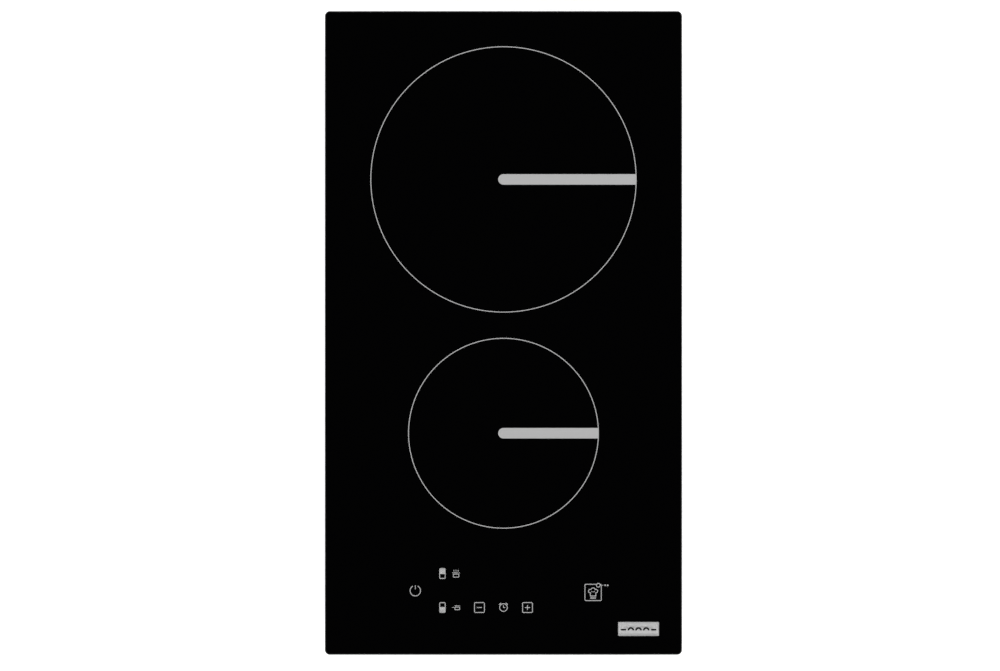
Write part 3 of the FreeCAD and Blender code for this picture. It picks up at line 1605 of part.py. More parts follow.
def make_terminal_box():
    box = Piece("terminal_box")
    depth = f"({TRAY_BACK} - box_front)"
    middle_y = f"(box_front + {depth} / 2)"
    outer = box.outline(offset="bead_depth")
    outer.rectangle(BOX_MIDDLE, middle_y, "box_width", depth)
    box.add(outer, "box_height")
    flange = box.outline(offset=FLOOR_TOP)
    flange_depth = f"({TRAY_BACK} - sheet - 2 - box_front + box_flange)"
    flange.rectangle(
        BOX_MIDDLE, f"box_front - box_flange + {flange_depth} / 2", "box_width + 2 * box_flange", flange_depth
    )
    box.add(flange, "2")
    bosses = box.outline(offset=FLOOR_TOP)
    for x, y in BOX_SCREWS:
        bosses.circle(x, y, "box_flange / 2 - 0.4")
    box.add(bosses, "5.5")
    inside = box.outline(offset="bead_depth")
    inner_depth = f"({depth} - box_wall - box_rear_wall)"
    inside.rectangle(
        BOX_MIDDLE, f"box_front + box_wall + {inner_depth} / 2", "box_width - 2 * box_wall", inner_depth
    )
    box.remove(inside, "box_height - box_wall", reverse=True)
    posts = box.outline(offset=BOX_ROOF)
    reach = "(jaw_width / 2 - post_width / 2)"
    for side in (-1, 1):
        posts.rectangle(f"{BOX_MIDDLE} + {side} * {reach}", "jaw_y", "post_width", "jaw_depth")
    box.add(posts, f"{BOX_ROOF} - jaw_level - jaw_thickness", reverse=True)
    rib = box.outline(offset=BOX_ROOF)
    rib.rectangle(BOX_MIDDLE, "jaw_y", "12", "jaw_depth")
    box.add(rib, f"{BOX_ROOF} - cord_level - cord_radius + 0.5", reverse=True)
    cord = box.outline("XZ_Plane", offset=f"-{TRAY_BACK}")
    cord.circle(BOX_MIDDLE, "cord_level", "cord_radius")
    box.remove(cord, "box_rear_wall + 1", reverse=True)
    notch = box.outline("XZ_Plane", offset="-box_front")
    notch.rectangle("56", f"{MAINS_LEVEL}", "32", "8", "2")
    box.remove(notch, "box_wall + 0.5")
    hinge = box.outline("YZ_Plane", offset="box_left - 1")
    hinge.circle("lid_hinge_y", "lid_level", "lid_pin_radius + lid_pin_clearance")
    box.remove(hinge, "box_width + 2", reverse=True)
    bores = box.outline(offset=FLOOR_TOP)
    for x, y in BOX_SCREWS:
        bores.circle(x, y, "screw_radius")
    box.remove(bores, "5", reverse=True)
    jaw_bores = box.outline(offset="jaw_level + jaw_thickness")
    for side in (-1, 1):
        jaw_bores.circle(f"{BOX_MIDDLE} + {side} * {reach}", "jaw_y", "screw_radius")
    box.remove(jaw_bores, "6", reverse=True)


def make_terminal_cover():
    lid = Piece("terminal_cover")
    width = "(box_width - 2 * box_wall - 2 * lid_side_gap)"
    front = "(lid_hinge_y - 1.8)"
    plate = lid.outline(offset="bead_depth")
    plate.rectangle(BOX_MIDDLE, f"({front} + lid_rear_y) / 2", width, f"lid_rear_y - {front}")
    lid.add(plate, "lid_thickness")
    pin = lid.outline("YZ_Plane", offset=BOX_MIDDLE)
    pin.circle("lid_hinge_y", "lid_level", "lid_pin_radius")
    lid.add(pin, "box_width - box_wall", symmetric=True)
    relief = lid.outline(offset="bead_depth + 0.8")
    relief.rectangle(BOX_MIDDLE, "234.5", "24", "3.4", "1.5")
    lid.remove(relief, "1")
    stiffeners = lid.outline(offset=LID_TOP)
    for side in (-1, 1):
        stiffeners.rectangle(f"{BOX_MIDDLE} + {side} * 30", "214", "1.6", "36")
    lid.add(stiffeners, "1.6")


def make_terminal_block():
    body = centred_block(BOX_MIDDLE, "block_y", BLOCK_UNDER, "block_length", "block_depth", "block_height")
    wells = [
        rod(x, f"block_y + {row} * 5", BLOCK_UNDER, "terminal_radius", "5") for x in POLES for row in (-1, 1)
    ]
    mouths = [
        rod(f"{x}", "block_y - block_depth / 2", f"{MAINS_LEVEL}", "mains_radius", "3", along="y")
        for x in MAINS_X
    ]
    cords = [
        rod(x, "block_y + block_depth / 2 - 6", f"{BLOCK_UNDER} + 6.5", "2", "6", along="y") for x in POLES
    ]
    subpart(cut(body, *wells, *mouths, *cords), "terminal_block")
    heads = []
    for x in POLES:
        for row in (-1, 1):
            y = f"block_y + {row} * 5"
            plug = rod(x, y, f"{BLOCK_UNDER} + 2.4", "terminal_radius", "2")
            slot = centred_block(x, y, f"{BLOCK_UNDER} + 2.4", "5", "0.9", "1.1")
            heads.append(cut(plug, slot))
    subpart(group(*heads), "terminal_screws")


def make_cord_clamp():
    bar = centred_block(BOX_MIDDLE, "jaw_y", "jaw_level", "jaw_width", "jaw_depth", "jaw_thickness")
    reach = "(jaw_width / 2 - post_width / 2)"
    holes = [
        rod(f"{BOX_MIDDLE} + {side} * {reach}", "jaw_y", "jaw_level", "screw_hole", "jaw_thickness")
        for side in (-1, 1)
    ]
    subpart(cut(bar, *holes), "cord_clamp")
    return [(f"{BOX_MIDDLE} + {side} * {reach}", "jaw_y") for side in (-1, 1)]


def make_mains_leads():
    start_y = value("block_y - block_depth / 2") + 3
    end = value(BOARD_TOP)
    print("mains leads")
    paths = [[(x, start_y, MAINS_LEVEL), (x, 110, MAINS_LEVEL), (x, 110, end)] for x in MAINS_X]
    formed("mains_leads", [round_lead(path, value("mains_radius")) for path in paths])


make_terminal_box()
make_terminal_cover()
make_terminal_block()
jaw_screws = make_cord_clamp()
make_mains_leads()

# ---------------------------------------------------------------- small screws


def make_small_screws():
    from_below = [*CARRIER_SCREWS, *BOX_SCREWS, *[fan_lug(*lug) for lug in FAN_LUGS]]
    housing = [small_screw(f"{x}", f"{y}", "bead_depth", "5") for x, y in from_below]
    housing += [small_screw(x, y, "jaw_level", "5") for x, y in jaw_screws]
    subpart(group(*housing), "housing_screws")
    chassis = [small_screw(x, y, PLATE_TOP, "5", facing=1) for x, y in [*COLUMNS, *STANDOFFS]]
    chassis += [small_screw(x, y, BOARD_TOP, "5", facing=1) for x, y in BOARD_SCREWS]
    subpart(group(*chassis), "chassis_screws")


make_small_screws()

# ---------------------------------------------------------------- checks and export


def check_and_export():
    doc.recompute()
    faulty = [thing.Name for thing in doc.Objects if {"Invalid", "Error"} & set(thing.State)]
    if faulty:
        raise RuntimeError(f"these objects didn't compute: {faulty}")
    os.makedirs("parts", exist_ok=True)
    labels = [thing.Label for thing in SUBPARTS]
    if len(set(labels)) != len(labels):
        raise RuntimeError("two sub-parts share a label")
    for thing in SUBPARTS:
        shape = thing.Shape
        if shape.isNull() or not shape.isValid() or shape.Volume <= 0:
            raise RuntimeError(f"{thing.Label} has no valid solid")
        box = shape.BoundBox
        print(
            f"{thing.Label:24s} {len(shape.Solids):3d} solids {shape.Volume:12.2f} mm3 "
            f"x {box.XMin:.2f} {box.XMax:.2f} y {box.YMin:.2f} {box.YMax:.2f} z {box.ZMin:.2f} {box.ZMax:.2f}"
        )
        shape.exportStep(f"parts/{thing.Label}.step")
    print(f"{len(SUBPARTS)} sub-parts")


check_and_export()
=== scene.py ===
import json
import math

import bmesh
import bpy
from mathutils import Matrix, Vector


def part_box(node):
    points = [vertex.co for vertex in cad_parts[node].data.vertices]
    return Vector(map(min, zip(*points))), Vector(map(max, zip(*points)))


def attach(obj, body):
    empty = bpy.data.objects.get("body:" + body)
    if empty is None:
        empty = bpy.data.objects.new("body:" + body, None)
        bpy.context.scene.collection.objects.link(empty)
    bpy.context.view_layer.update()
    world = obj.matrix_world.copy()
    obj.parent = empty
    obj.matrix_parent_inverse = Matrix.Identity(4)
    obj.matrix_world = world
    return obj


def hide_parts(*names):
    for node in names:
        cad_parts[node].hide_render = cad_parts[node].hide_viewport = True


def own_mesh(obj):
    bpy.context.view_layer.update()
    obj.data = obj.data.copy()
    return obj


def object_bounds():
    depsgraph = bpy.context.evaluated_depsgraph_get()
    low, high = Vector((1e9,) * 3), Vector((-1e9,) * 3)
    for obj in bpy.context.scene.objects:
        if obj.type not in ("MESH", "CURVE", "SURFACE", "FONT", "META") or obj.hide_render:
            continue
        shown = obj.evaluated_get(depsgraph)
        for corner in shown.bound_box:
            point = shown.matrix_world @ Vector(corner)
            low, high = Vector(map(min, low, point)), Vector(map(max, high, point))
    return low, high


# A narrow black glass induction cooktop with two cooking zones, seen from straight above on a white
# ground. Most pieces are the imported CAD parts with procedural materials. The glass plate, the zones'
# rings and bars, the coil windings and the helical springs are made again here with finer meshes. The
# control symbols, the corner plate and the coil leads are copies of the CAD's meshes.

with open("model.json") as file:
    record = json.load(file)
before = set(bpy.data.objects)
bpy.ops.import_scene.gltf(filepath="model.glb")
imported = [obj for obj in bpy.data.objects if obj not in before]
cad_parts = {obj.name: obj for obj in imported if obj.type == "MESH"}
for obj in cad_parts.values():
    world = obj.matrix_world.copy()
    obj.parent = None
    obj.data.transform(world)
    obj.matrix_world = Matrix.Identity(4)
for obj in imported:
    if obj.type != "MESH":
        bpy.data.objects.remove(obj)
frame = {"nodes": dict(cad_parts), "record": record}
cad_low, cad_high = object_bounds()

MM = 0.001
PRINT_LIFT = 0.02 * MM  # how far the print's skin stands above the glass
MERGE_BELOW = 0.0005 * MM  # vertices nearer to each other than this are joined
SMOOTH_BELOW = 40  # degrees; sharper edges stay sharp
WIRE_SMOOTH_BELOW = 60  # degrees, for tubes with few sides
WAVE_BAND = math.pi / 10  # width of the wave texture's bands at a scale of 1


# ---------------------------------------------------------------- material helpers


class Recipe:
    """A procedural material: a Principled shader with textures in the object's own coordinates."""

    def __init__(self, name, colour, roughness, metallic=0.0, coat=0.0, ior=1.5):
        self.material = bpy.data.materials.new(name)
        self.material.use_nodes = True
        self.material.diffuse_color = (*colour, 1)
        self.tree = self.material.node_tree
        self.shader = self.tree.nodes["Principled BSDF"]
        self.shader.inputs["Base Color"].default_value = (*colour, 1)
        self.shader.inputs["Roughness"].default_value = roughness
        self.shader.inputs["Metallic"].default_value = metallic
        self.shader.inputs["Coat Weight"].default_value = coat
        self.shader.inputs["IOR"].default_value = ior
        self.colour = colour
        self.roughness = roughness
        self.bump = None
        self.place = self.tree.nodes.new("ShaderNodeTexCoord").outputs["Object"]

    def link(self, source, node, socket):
        self.tree.links.new(source, node.inputs[socket])

    def stretched(self, scale):
        """The object's coordinates, scaled along each axis."""
        mapping = self.tree.nodes.new("ShaderNodeMapping")
        mapping.inputs["Scale"].default_value = scale
        self.link(self.place, mapping, "Vector")
        return mapping.outputs["Vector"]

    def noise(self, size, detail=3.0, stretch=(1, 1, 1)):
        """Cloudy noise from 0 to 1, with features of about the given size in metres."""
        node = self.tree.nodes.new("ShaderNodeTexNoise")
        node.inputs["Scale"].default_value = 1 / size
        node.inputs["Detail"].default_value = detail
        self.link(self.stretched(stretch), node, "Vector")
        return node.outputs["Fac"]

    def cells(self, size, feature="F1", output="Color"):
        """Voronoi cells of about the given size in metres."""
        node = self.tree.nodes.new("ShaderNodeTexVoronoi")
        node.feature = feature
        node.inputs["Scale"].default_value = 1 / size
        self.link(self.place, node, "Vector")
        return node.outputs[output]

    def waves(self, size, direction="X", distortion=0.0):
        """Parallel bands of the given width in metres."""
        node = self.tree.nodes.new("ShaderNodeTexWave")
        node.bands_direction = direction
        node.inputs["Scale"].default_value = WAVE_BAND / size
        node.inputs["Distortion"].default_value = distortion
        self.link(self.place, node, "Vector")
        return node.outputs["Fac"]

    def ramp(self, value, low, high, start=0.3, end=0.7):
        """Turns a value between start and end into a colour between low and high."""
        node = self.tree.nodes.new("ShaderNodeValToRGB")
        first, last = node.color_ramp.elements
        first.position, last.position = start, end
        first.color, last.color = (*low, 1), (*high, 1)
        self.link(value, node, "Fac")
        return node.outputs["Color"]

    def spread(self, value, low, high, start=0.3, end=0.7):
        """Turns a value between start and end into a number between low and high."""
        node = self.tree.nodes.new("ShaderNodeMapRange")
        node.inputs["From Min"].default_value = start
        node.inputs["From Max"].default_value = end
        node.inputs["To Min"].default_value = low
        node.inputs["To Max"].default_value = high
        self.link(value, node, "Value")
        return node.outputs["Result"]

    def tint(self, value, share, start=0.3, end=0.7):
        """Varies the base colour by a share of itself, from darker to lighter."""
        low = tuple(c * (1 - share) for c in self.colour)
        high = tuple(min(1, c * (1 + share)) for c in self.colour)
        self.link(self.ramp(value, low, high, start, end), self.shader, "Base Color")
        return self

    def gloss(self, value, share, start=0.3, end=0.7):
        """Varies the roughness by a share of itself."""
        low, high = self.roughness * (1 - share), min(1, self.roughness * (1 + share))
        self.link(self.spread(value, low, high, start, end), self.shader, "Roughness")
        return self

    def relief(self, value, depth):
        """Adds a bump of the given depth in metres. A second call adds to the first."""
        node = self.tree.nodes.new("ShaderNodeBump")
        node.inputs["Distance"].default_value = depth
        self.link(value, node, "Height")
        if self.bump:
            self.link(self.bump, node, "Normal")
        self.bump = node.outputs["Normal"]
        self.link(self.bump, self.shader, "Normal")
        return self


# ---------------------------------------------------------------- materials


def black_glass():
    """Glass ceramic, black right through, with the very slight waviness of a rolled plate."""
    made = Recipe("black_glass", (0.0009, 0.0009, 0.001), 0.03, ior=1.52)
    made.gloss(made.noise(60 * MM), 0.35)
    made.relief(made.noise(45 * MM, detail=1), 0.002 * MM)
    return made.material


def ground_edge():
    """The ground and polished rim of the plate, a little duller than its top."""
    made = Recipe("ground_edge", (0.004, 0.0045, 0.0045), 0.24, ior=1.33)
    made.relief(made.noise(0.15 * MM, stretch=(1, 1, 6)), 0.004 * MM)
    return made.material


def zone_ink():
    """Fired ceramic ink: flat grey, with the fine grain of the screen it was printed through."""
    made = Recipe("zone_ink", (0.462, 0.462, 0.462), 0.5)
    made.tint(made.noise(0.25 * MM, detail=2), 0.04)
    made.relief(made.noise(0.12 * MM), 0.004 * MM)
    return made.material


def plate_ink():
    """The lighter ink of the corner plate, with a faint metallic fleck."""
    made = Recipe("plate_ink", (0.508, 0.508, 0.508), 0.42, metallic=0.15)
    made.tint(made.cells(0.12 * MM), 0.05, start=0, end=1)
    made.relief(made.noise(0.1 * MM), 0.003 * MM)
    return made.material


def foam_seal():
    """Closed-cell sealing foam."""
    made = Recipe("foam_seal", (0.022, 0.022, 0.023), 0.9)
    made.tint(made.noise(3 * MM), 0.25)
    made.relief(made.cells(0.35 * MM, output="Distance"), 0.08 * MM)
    return made.material


def silicone():
    made = Recipe("silicone", (0.04, 0.04, 0.042), 0.45)
    made.relief(made.noise(2 * MM), 0.1 * MM)
    return made.material


def galvanised():
    """Hot-dip galvanised sheet: large crystals of zinc that differ a little in tone and in gloss."""
    made = Recipe("galvanised", (0.47, 0.485, 0.495), 0.36, metallic=0.92)
    size = 6 * MM
    crystals = made.cells(size)
    made.tint(crystals, 0.07, start=0.1, end=0.9)
    made.gloss(crystals, 0.16, start=0.1, end=0.9)
    made.relief(made.cells(size, feature="DISTANCE_TO_EDGE", output="Distance"), 0.006 * MM)
    made.relief(made.noise(0.4 * MM, detail=4), 0.004 * MM)
    return made.material


def zinc_plated():
    """Bright zinc plating over stamped steel, slightly clouded."""
    made = Recipe("zinc_plated", (0.56, 0.565, 0.56), 0.28, metallic=1.0)
    made.tint(made.noise(2.5 * MM, detail=4), 0.12)
    made.gloss(made.noise(1.2 * MM), 0.4)
    made.relief(made.noise(0.3 * MM), 0.006 * MM)
    return made.material


def label_film():
    """Silvery polyester film without any print."""
    made = Recipe("label_film", (0.66, 0.67, 0.68), 0.38, metallic=0.3, coat=0.3)
    made.relief(made.noise(6 * MM, detail=1), 0.03 * MM)
    made.tint(made.noise(20 * MM), 0.03)
    return made.material


def rolled_aluminium():
    """Mill finish: fine lines along the direction of rolling."""
    made = Recipe("rolled_aluminium", (0.75, 0.76, 0.77), 0.3, metallic=1.0)
    grain = made.noise(0.6 * MM, detail=4, stretch=(1, 0.02, 1))
    made.gloss(grain, 0.35)
    made.tint(grain, 0.06)
    made.relief(grain, 0.004 * MM)
    return made.material


def extruded_aluminium():
    made = Recipe("extruded_aluminium", (0.6, 0.61, 0.62), 0.38, metallic=1.0)
    grain = made.noise(0.3 * MM, stretch=(1, 0.03, 1))
    made.gloss(grain, 0.3)
    made.relief(grain, 0.01 * MM)
    return made.material


def moulded(name, colour, roughness=0.55):
    """Spark-eroded texture of an injection-moulded piece."""
    made = Recipe(name, colour, roughness)
    made.relief(made.noise(0.18 * MM, detail=2), 0.02 * MM)
    made.tint(made.noise(12 * MM), 0.1)
    made.gloss(made.noise(5 * MM), 0.12)
    return made.material


def litz():
    """Stranded copper: each turn shows the lay of its strands as fine slanting lines."""
    made = Recipe("litz", (0.72, 0.30, 0.13), 0.32, metallic=0.85)
    strands = made.waves(0.35 * MM, direction="DIAGONAL", distortion=1.5)
    made.relief(strands, 0.08 * MM)
    made.tint(made.noise(4 * MM, detail=4), 0.22)
    return made.material


def ferrite():
    made = Recipe("ferrite", (0.045, 0.046, 0.05), 0.5, metallic=0.2)
    made.relief(made.noise(0.4 * MM, detail=4), 0.03 * MM)
    made.tint(made.cells(0.8 * MM), 0.2, start=0, end=1)
    return made.material


def mica_mat():
    """Pressed mica paper with glass fibre: pale, flaky, faintly glittering."""
    made = Recipe("mica_mat", (0.72, 0.69, 0.6), 0.6)
    made.tint(made.cells(1.6 * MM), 0.12, start=0, end=1)
    made.relief(made.noise(0.5 * MM, detail=5), 0.06 * MM)
    return made.material


def soft_sleeve(name, colour):
    """Braided sleeve over a wire."""
    made = Recipe(name, colour, 0.7)
    made.relief(made.waves(0.5 * MM, direction="DIAGONAL"), 0.08 * MM)
    made.tint(made.noise(5 * MM), 0.08)
    return made.material


def circuit_board():
    """Solder mask over copper traces, which show as slightly raised, lighter bands."""
    made = Recipe("circuit_board", (0.02, 0.13, 0.05), 0.28, coat=0.3)
    traces = made.cells(7 * MM, feature="DISTANCE_TO_EDGE", output="Distance")
    made.link(
        made.ramp(traces, (0.03, 0.2, 0.07), (0.015, 0.1, 0.04), start=0.05, end=0.09),
        made.shader, "Base Color"
    )
    made.relief(made.spread(traces, 1, 0, 0.05, 0.09), 0.03 * MM)
    return made.material


def plated_metal(name, colour, roughness=0.25):
    made = Recipe(name, colour, roughness, metallic=1.0)
    made.gloss(made.noise(1.5 * MM), 0.4)
    made.relief(made.noise(0.4 * MM), 0.006 * MM)
    return made.material


def cast_metal(name, colour):
    made = Recipe(name, colour, 0.55, metallic=0.6)
    made.relief(made.noise(0.6 * MM, detail=5), 0.05 * MM)
    made.tint(made.noise(3 * MM), 0.2)
    return made.material


def laminated_steel():
    made = Recipe("laminated_steel", (0.25, 0.25, 0.26), 0.42, metallic=0.9)
    made.relief(made.waves(0.5 * MM, direction="Z"), 0.05 * MM)
    made.tint(made.noise(2 * MM), 0.15)
    return made.material


def wrapped_wire():
    """Varnished winding wire around the choke's core."""
    made = Recipe("wrapped_wire", (0.6, 0.2, 0.07), 0.22, metallic=0.7, coat=0.5)
    made.tint(made.noise(2 * MM), 0.25)
    made.relief(made.noise(0.8 * MM), 0.02 * MM)
    return made.material


def ribbon():
    """Flat cable: a row of moulded conductors side by side."""
    made = Recipe("ribbon", (0.42, 0.43, 0.45), 0.5)
    made.relief(made.waves(1.2 * MM, direction="X"), 0.15 * MM)
    made.tint(made.noise(8 * MM), 0.05)
    return made.material


def shiny_case(name, colour):
    made = Recipe(name, colour, 0.25, coat=0.4)
    made.relief(made.noise(2.5 * MM, detail=1), 0.03 * MM)
    made.tint(made.noise(8 * MM), 0.08)
    return made.material


MATERIALS = {
    "gasket_foam": foam_seal(),
    "silicone": silicone(),
    "galvanised_steel": galvanised(),
    "zinc_plated_steel": zinc_plated(),
    "label_film": label_film(),
    "aluminium_sheet": rolled_aluminium(),
    "former_plastic": moulded("former_plastic", (0.03, 0.03, 0.032)),
    "copper_litz": litz(),
    "ferrite": ferrite(),
    "mica_mat": mica_mat(),
    "sensor_silicone": moulded("sensor_silicone", (0.7, 0.7, 0.68), 0.5),
    "spring_steel": plated_metal("spring_steel", (0.55, 0.55, 0.56)),
    "lead_sleeve": soft_sleeve("lead_sleeve", (0.74, 0.72, 0.66)),
    "black_plastic": moulded("black_plastic", (0.026, 0.026, 0.028)),
    "circuit_board": circuit_board(),
    "heat_sink_aluminium": extruded_aluminium(),
    "component_black": moulded("component_black", (0.02, 0.02, 0.021), 0.4),
    "capacitor_case": shiny_case("capacitor_case", (0.7, 0.45, 0.05)),
    "capacitor_sleeve": shiny_case("capacitor_sleeve", (0.02, 0.035, 0.11)),
    "choke_copper": wrapped_wire(),
    "transformer_core": laminated_steel(),
    "terminal_brass": plated_metal("terminal_brass", (0.68, 0.5, 0.2)),
    "magnet": cast_metal("magnet", (0.08, 0.08, 0.085)),
    "bearing_bronze": plated_metal("bearing_bronze", (0.55, 0.36, 0.16), 0.35),
    "stator_steel": laminated_steel(),
    "white_plastic": moulded("white_plastic", (0.78, 0.78, 0.76), 0.5),
    "display_grey": shiny_case("display_grey", (0.06, 0.06, 0.065)),
    "ribbon_grey": ribbon(),
    "mains_wire": moulded("mains_wire", (0.03, 0.09, 0.33), 0.4),
}

# ---------------------------------------------------------------- mesh helpers


def add_piece(name, mesh, body, node, materials, smooth_below=SMOOTH_BELOW):
    """Shows a mesh in place of a CAD node, riding on the node's body."""
    for material in materials:
        mesh.materials.append(material)
    mesh.polygons.foreach_set("use_smooth", [True] * len(mesh.polygons))
    mesh.set_sharp_from_angle(angle=math.radians(smooth_below))
    piece = bpy.data.objects.new(name, mesh)
    bpy.context.scene.collection.objects.link(piece)
    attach(piece, body)
    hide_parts(node)
    return piece


def finished(name, build):
    """A mesh from what build(bmesh) makes, with its doubles merged and its faces turned outward."""
    bm = bmesh.new()
    build(bm)
    bmesh.ops.remove_doubles(bm, verts=bm.verts, dist=MERGE_BELOW)
    bmesh.ops.recalc_face_normals(bm, faces=bm.faces)
    mesh = bpy.data.meshes.new(name)
    bm.to_mesh(mesh)
    bm.free()
    return mesh


def arc_points(centre, radius, start, end, steps):
    """Points on an arc between two angles in degrees, both ends included."""
    x, y = centre
    angles = [math.radians(start + (end - start) * i / steps) for i in range(steps + 1)]
    return [Vector((x + radius * math.cos(a), y + radius * math.sin(a))) for a in angles]


CORNER_STEPS = 12


def round_rectangle(half_width, half_depth, corner):
    """The outline of a rectangle about the origin with round corners, anticlockwise."""
    points = []
    for turn, (side, back) in enumerate(((1, 1), (-1, 1), (-1, -1), (1, -1))):
        centre = (side * (half_width - corner), back * (half_depth - corner))
        points += arc_points(centre, corner, 90 * turn, 90 * (turn + 1), CORNER_STEPS)
    return points


def flat_shape(name, loops, low, high):
    """A plate between two levels, with the first loop as its outline and the others as holes in it."""
    curve = bpy.data.curves.new(name, "CURVE")
    curve.dimensions = "2D"
    curve.fill_mode = "BOTH"
    curve.extrude = (high - low) / 2
    for loop in loops:
        spline = curve.splines.new("POLY")
        spline.points.add(len(loop) - 1)
        for point, spot in zip(spline.points, loop):
            point.co = (*spot, 0, 1)
        spline.use_cyclic_u = True
    holder = bpy.data.objects.new(name, curve)
    bpy.context.scene.collection.objects.link(holder)
    bpy.context.view_layer.update()
    filled = bpy.data.meshes.new_from_object(holder)
    bpy.data.objects.remove(holder)
    filled.transform(Matrix.Translation((0, 0, (low + high) / 2)))
    return finished(name, lambda bm: bm.from_mesh(filled))


def add_tube(bm, points, radius, sides):
    """A round wire along points that never run straight up, with flat ends."""
    rings = []
    for i, point in enumerate(points):
        ahead = points[min(i + 1, len(points) - 1)] - points[max(i - 1, 0)]
        along = ahead.normalized()
        side = Vector((0, 0, 1)).cross(along).normalized()
        over = along.cross(side)
        ring = []
        for k in range(sides):
            turn = 2 * math.pi * k / sides
            ring.append(bm.verts.new(point + radius * (side * math.cos(turn) + over * math.sin(turn))))
        rings.append(ring)
    for ring, following in zip(rings, rings[1:]):
        for k in range(sides):
            bm.faces.new((ring[k], ring[k - 1], following[k - 1], following[k]))
    bm.faces.new(rings[0])
    bm.faces.new(rings[-1][::-1])


def own_copy(node):
    """A copy of a CAD node's mesh whose split vertices are joined again."""
    source = frame["nodes"][node].data
    return finished(f"{node}_mesh", lambda bm: bm.from_mesh(source))


SLOT_OF = {part["node"]: part["material_slot"] for part in frame["record"]["subparts"]}
BODIES = frame["record"]["behaviour"]["bodies"]
APPLIANCE = next(body for body, nodes in BODIES.items() if "tray" in nodes)

# ---------------------------------------------------------------- glass plate and its print

# The corner, the bevel, the rings' line and the bars' half width are the CAD's.
GLASS_CORNER = 4 * MM
GLASS_BEVEL = 0.6 * MM
ZONE_LINE = 0.65 * MM
BAR_HALF = 4.25 * MM
ARRIS = 0.12 * MM  # width of the fine rounding along the plate's edges
ARRIS_STEPS = 3
ARRIS_ABOVE = math.radians(25)  # only edges sharper than this are rounded
RING_STEPS = 360
BAR_END_STEPS = 32
PRINT_SKIN = 0.01 * MM  # vertices this close to the print's top belong to its skin
RIM = 1  # place of the ground edge's material in the plate's list


def make_glass():
    """The plate with its ground bevels. Its rim has the material of the ground edge."""
    low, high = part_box("glass_plate")
    half_width, half_depth = high.x, high.y
    profile = (
        (GLASS_BEVEL, low.z),
        (0, low.z + GLASS_BEVEL),
        (0, high.z - GLASS_BEVEL),
        (GLASS_BEVEL, high.z),
    )

    def build(bm):
        rings = []
        for inset, level in profile:
            outline = round_rectangle(half_width - inset, half_depth - inset, GLASS_CORNER - inset)
            rings.append([bm.verts.new((*spot, level)) for spot in outline])
        for ring, following in zip(rings, rings[1:]):
            for k in range(len(ring)):
                face = bm.faces.new((ring[k - 1], ring[k], following[k], following[k - 1]))
                face.material_index = RIM
        bm.faces.new(rings[0][::-1])
        bm.faces.new(rings[-1])

    mesh = finished("glass_mesh", build)
    materials = [black_glass(), ground_edge()]
    plate = add_piece("glass_plate_fine", mesh, APPLIANCE, "glass_plate", materials)
    edge = plate.modifiers.new("arris", "BEVEL")
    edge.width = ARRIS
    edge.segments = ARRIS_STEPS
    edge.angle_limit = ARRIS_ABOVE


def make_zone_print(node, ink):
    """A ring and its bar to the right: one outline, with one hole that the bar cuts into."""
    low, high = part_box(node)
    centre = (low + high) / 2
    radius = (high.x - low.x) / 2
    inner = radius - ZONE_LINE
    meet = math.degrees(math.asin(BAR_HALF / inner))
    outline = arc_points(centre.xy, radius, 0, 360, RING_STEPS)[:-1]
    hole = arc_points(centre.xy, inner, meet, 360 - meet, RING_STEPS)
    hole += arc_points(centre.xy, BAR_HALF, 270, 90, BAR_END_STEPS)
    mesh = flat_shape(f"{node}_mesh", [outline, hole], low.z, high.z + PRINT_LIFT)
    add_piece(f"{node}_ink", mesh, APPLIANCE, node, [ink])


def make_small_print(node, ink):
    """The symbols as the CAD has them, raised by a hair so that they cover the glass."""
    mesh = own_copy(node)
    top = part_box(node)[1].z
    for vertex in mesh.vertices:
        if vertex.co.z > top - PRINT_SKIN:
            vertex.co.z = top + PRINT_LIFT
    add_piece(f"{node}_ink", mesh, APPLIANCE, node, [ink])


make_glass()
grey_ink = zone_ink()
for zone_node in ("rear_zone_print", "front_zone_print"):
    make_zone_print(zone_node, grey_ink)
make_small_print("control_print", grey_ink)
make_small_print("name_badge", plate_ink())

# ---------------------------------------------------------------- coils and springs

# The sizes and counts are the CAD's. The steps and sides are how finely the tubes are made.
LITZ_RADIUS = 1.45 * MM
LITZ_PITCH = 3.1 * MM
LITZ_SIDES = 14
HALF_TURN_STEPS = 40
HELIX_STEPS = 40
WIRE_SIDES = 10
COIL_INNER = {"rear": 28 * MM, "front": 24 * MM}
HALF_TURNS = {"rear": 44, "front": 28}
SPRING_SPOTS = ((1, 0), (0, 1), (-1, 0), (0, -1))
SPRING_RADIUS = 4 * MM
SPRING_WIRE = 0.45 * MM
SPRING_PITCH = 1.725 * MM
PEG_CIRCLE = {"rear": 78 * MM, "front": 50 * MM}
TOUCH_SPRING_RADIUS = 3.6 * MM
TOUCH_SPRING_WIRE = 0.45 * MM
TOUCH_SPRING_PITCH = 1.9 * MM


def zone_middle(zone):
    low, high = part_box(f"{zone}_coil_former")
    return (low + high) / 2


def make_winding(zone):
    """The same flat spiral as the CAD's, of half turns about two centres, as a finer tube."""
    middle = zone_middle(zone)
    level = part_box(f"{zone}_coil_winding")[0].z + LITZ_RADIUS
    points = []
    for k in range(HALF_TURNS[zone]):
        centre = (middle.x + (k % 2) * LITZ_PITCH / 2, middle.y)
        radius = COIL_INNER[zone] + k * LITZ_PITCH / 2
        turn = arc_points(centre, radius, 180 * (k % 2), 180 * (k % 2) + 180, HALF_TURN_STEPS)
        fresh = turn[1:] if points else turn
        points += [Vector((*spot, level)) for spot in fresh]
    mesh = finished(f"{zone}_winding_mesh", lambda bm: add_tube(bm, points, LITZ_RADIUS, LITZ_SIDES))
    node = f"{zone}_coil_winding"
    litz_wire = [MATERIALS["copper_litz"]]
    add_piece(f"{node}_fine", mesh, f"{zone}_coil", node, litz_wire, WIRE_SMOOTH_BELOW)


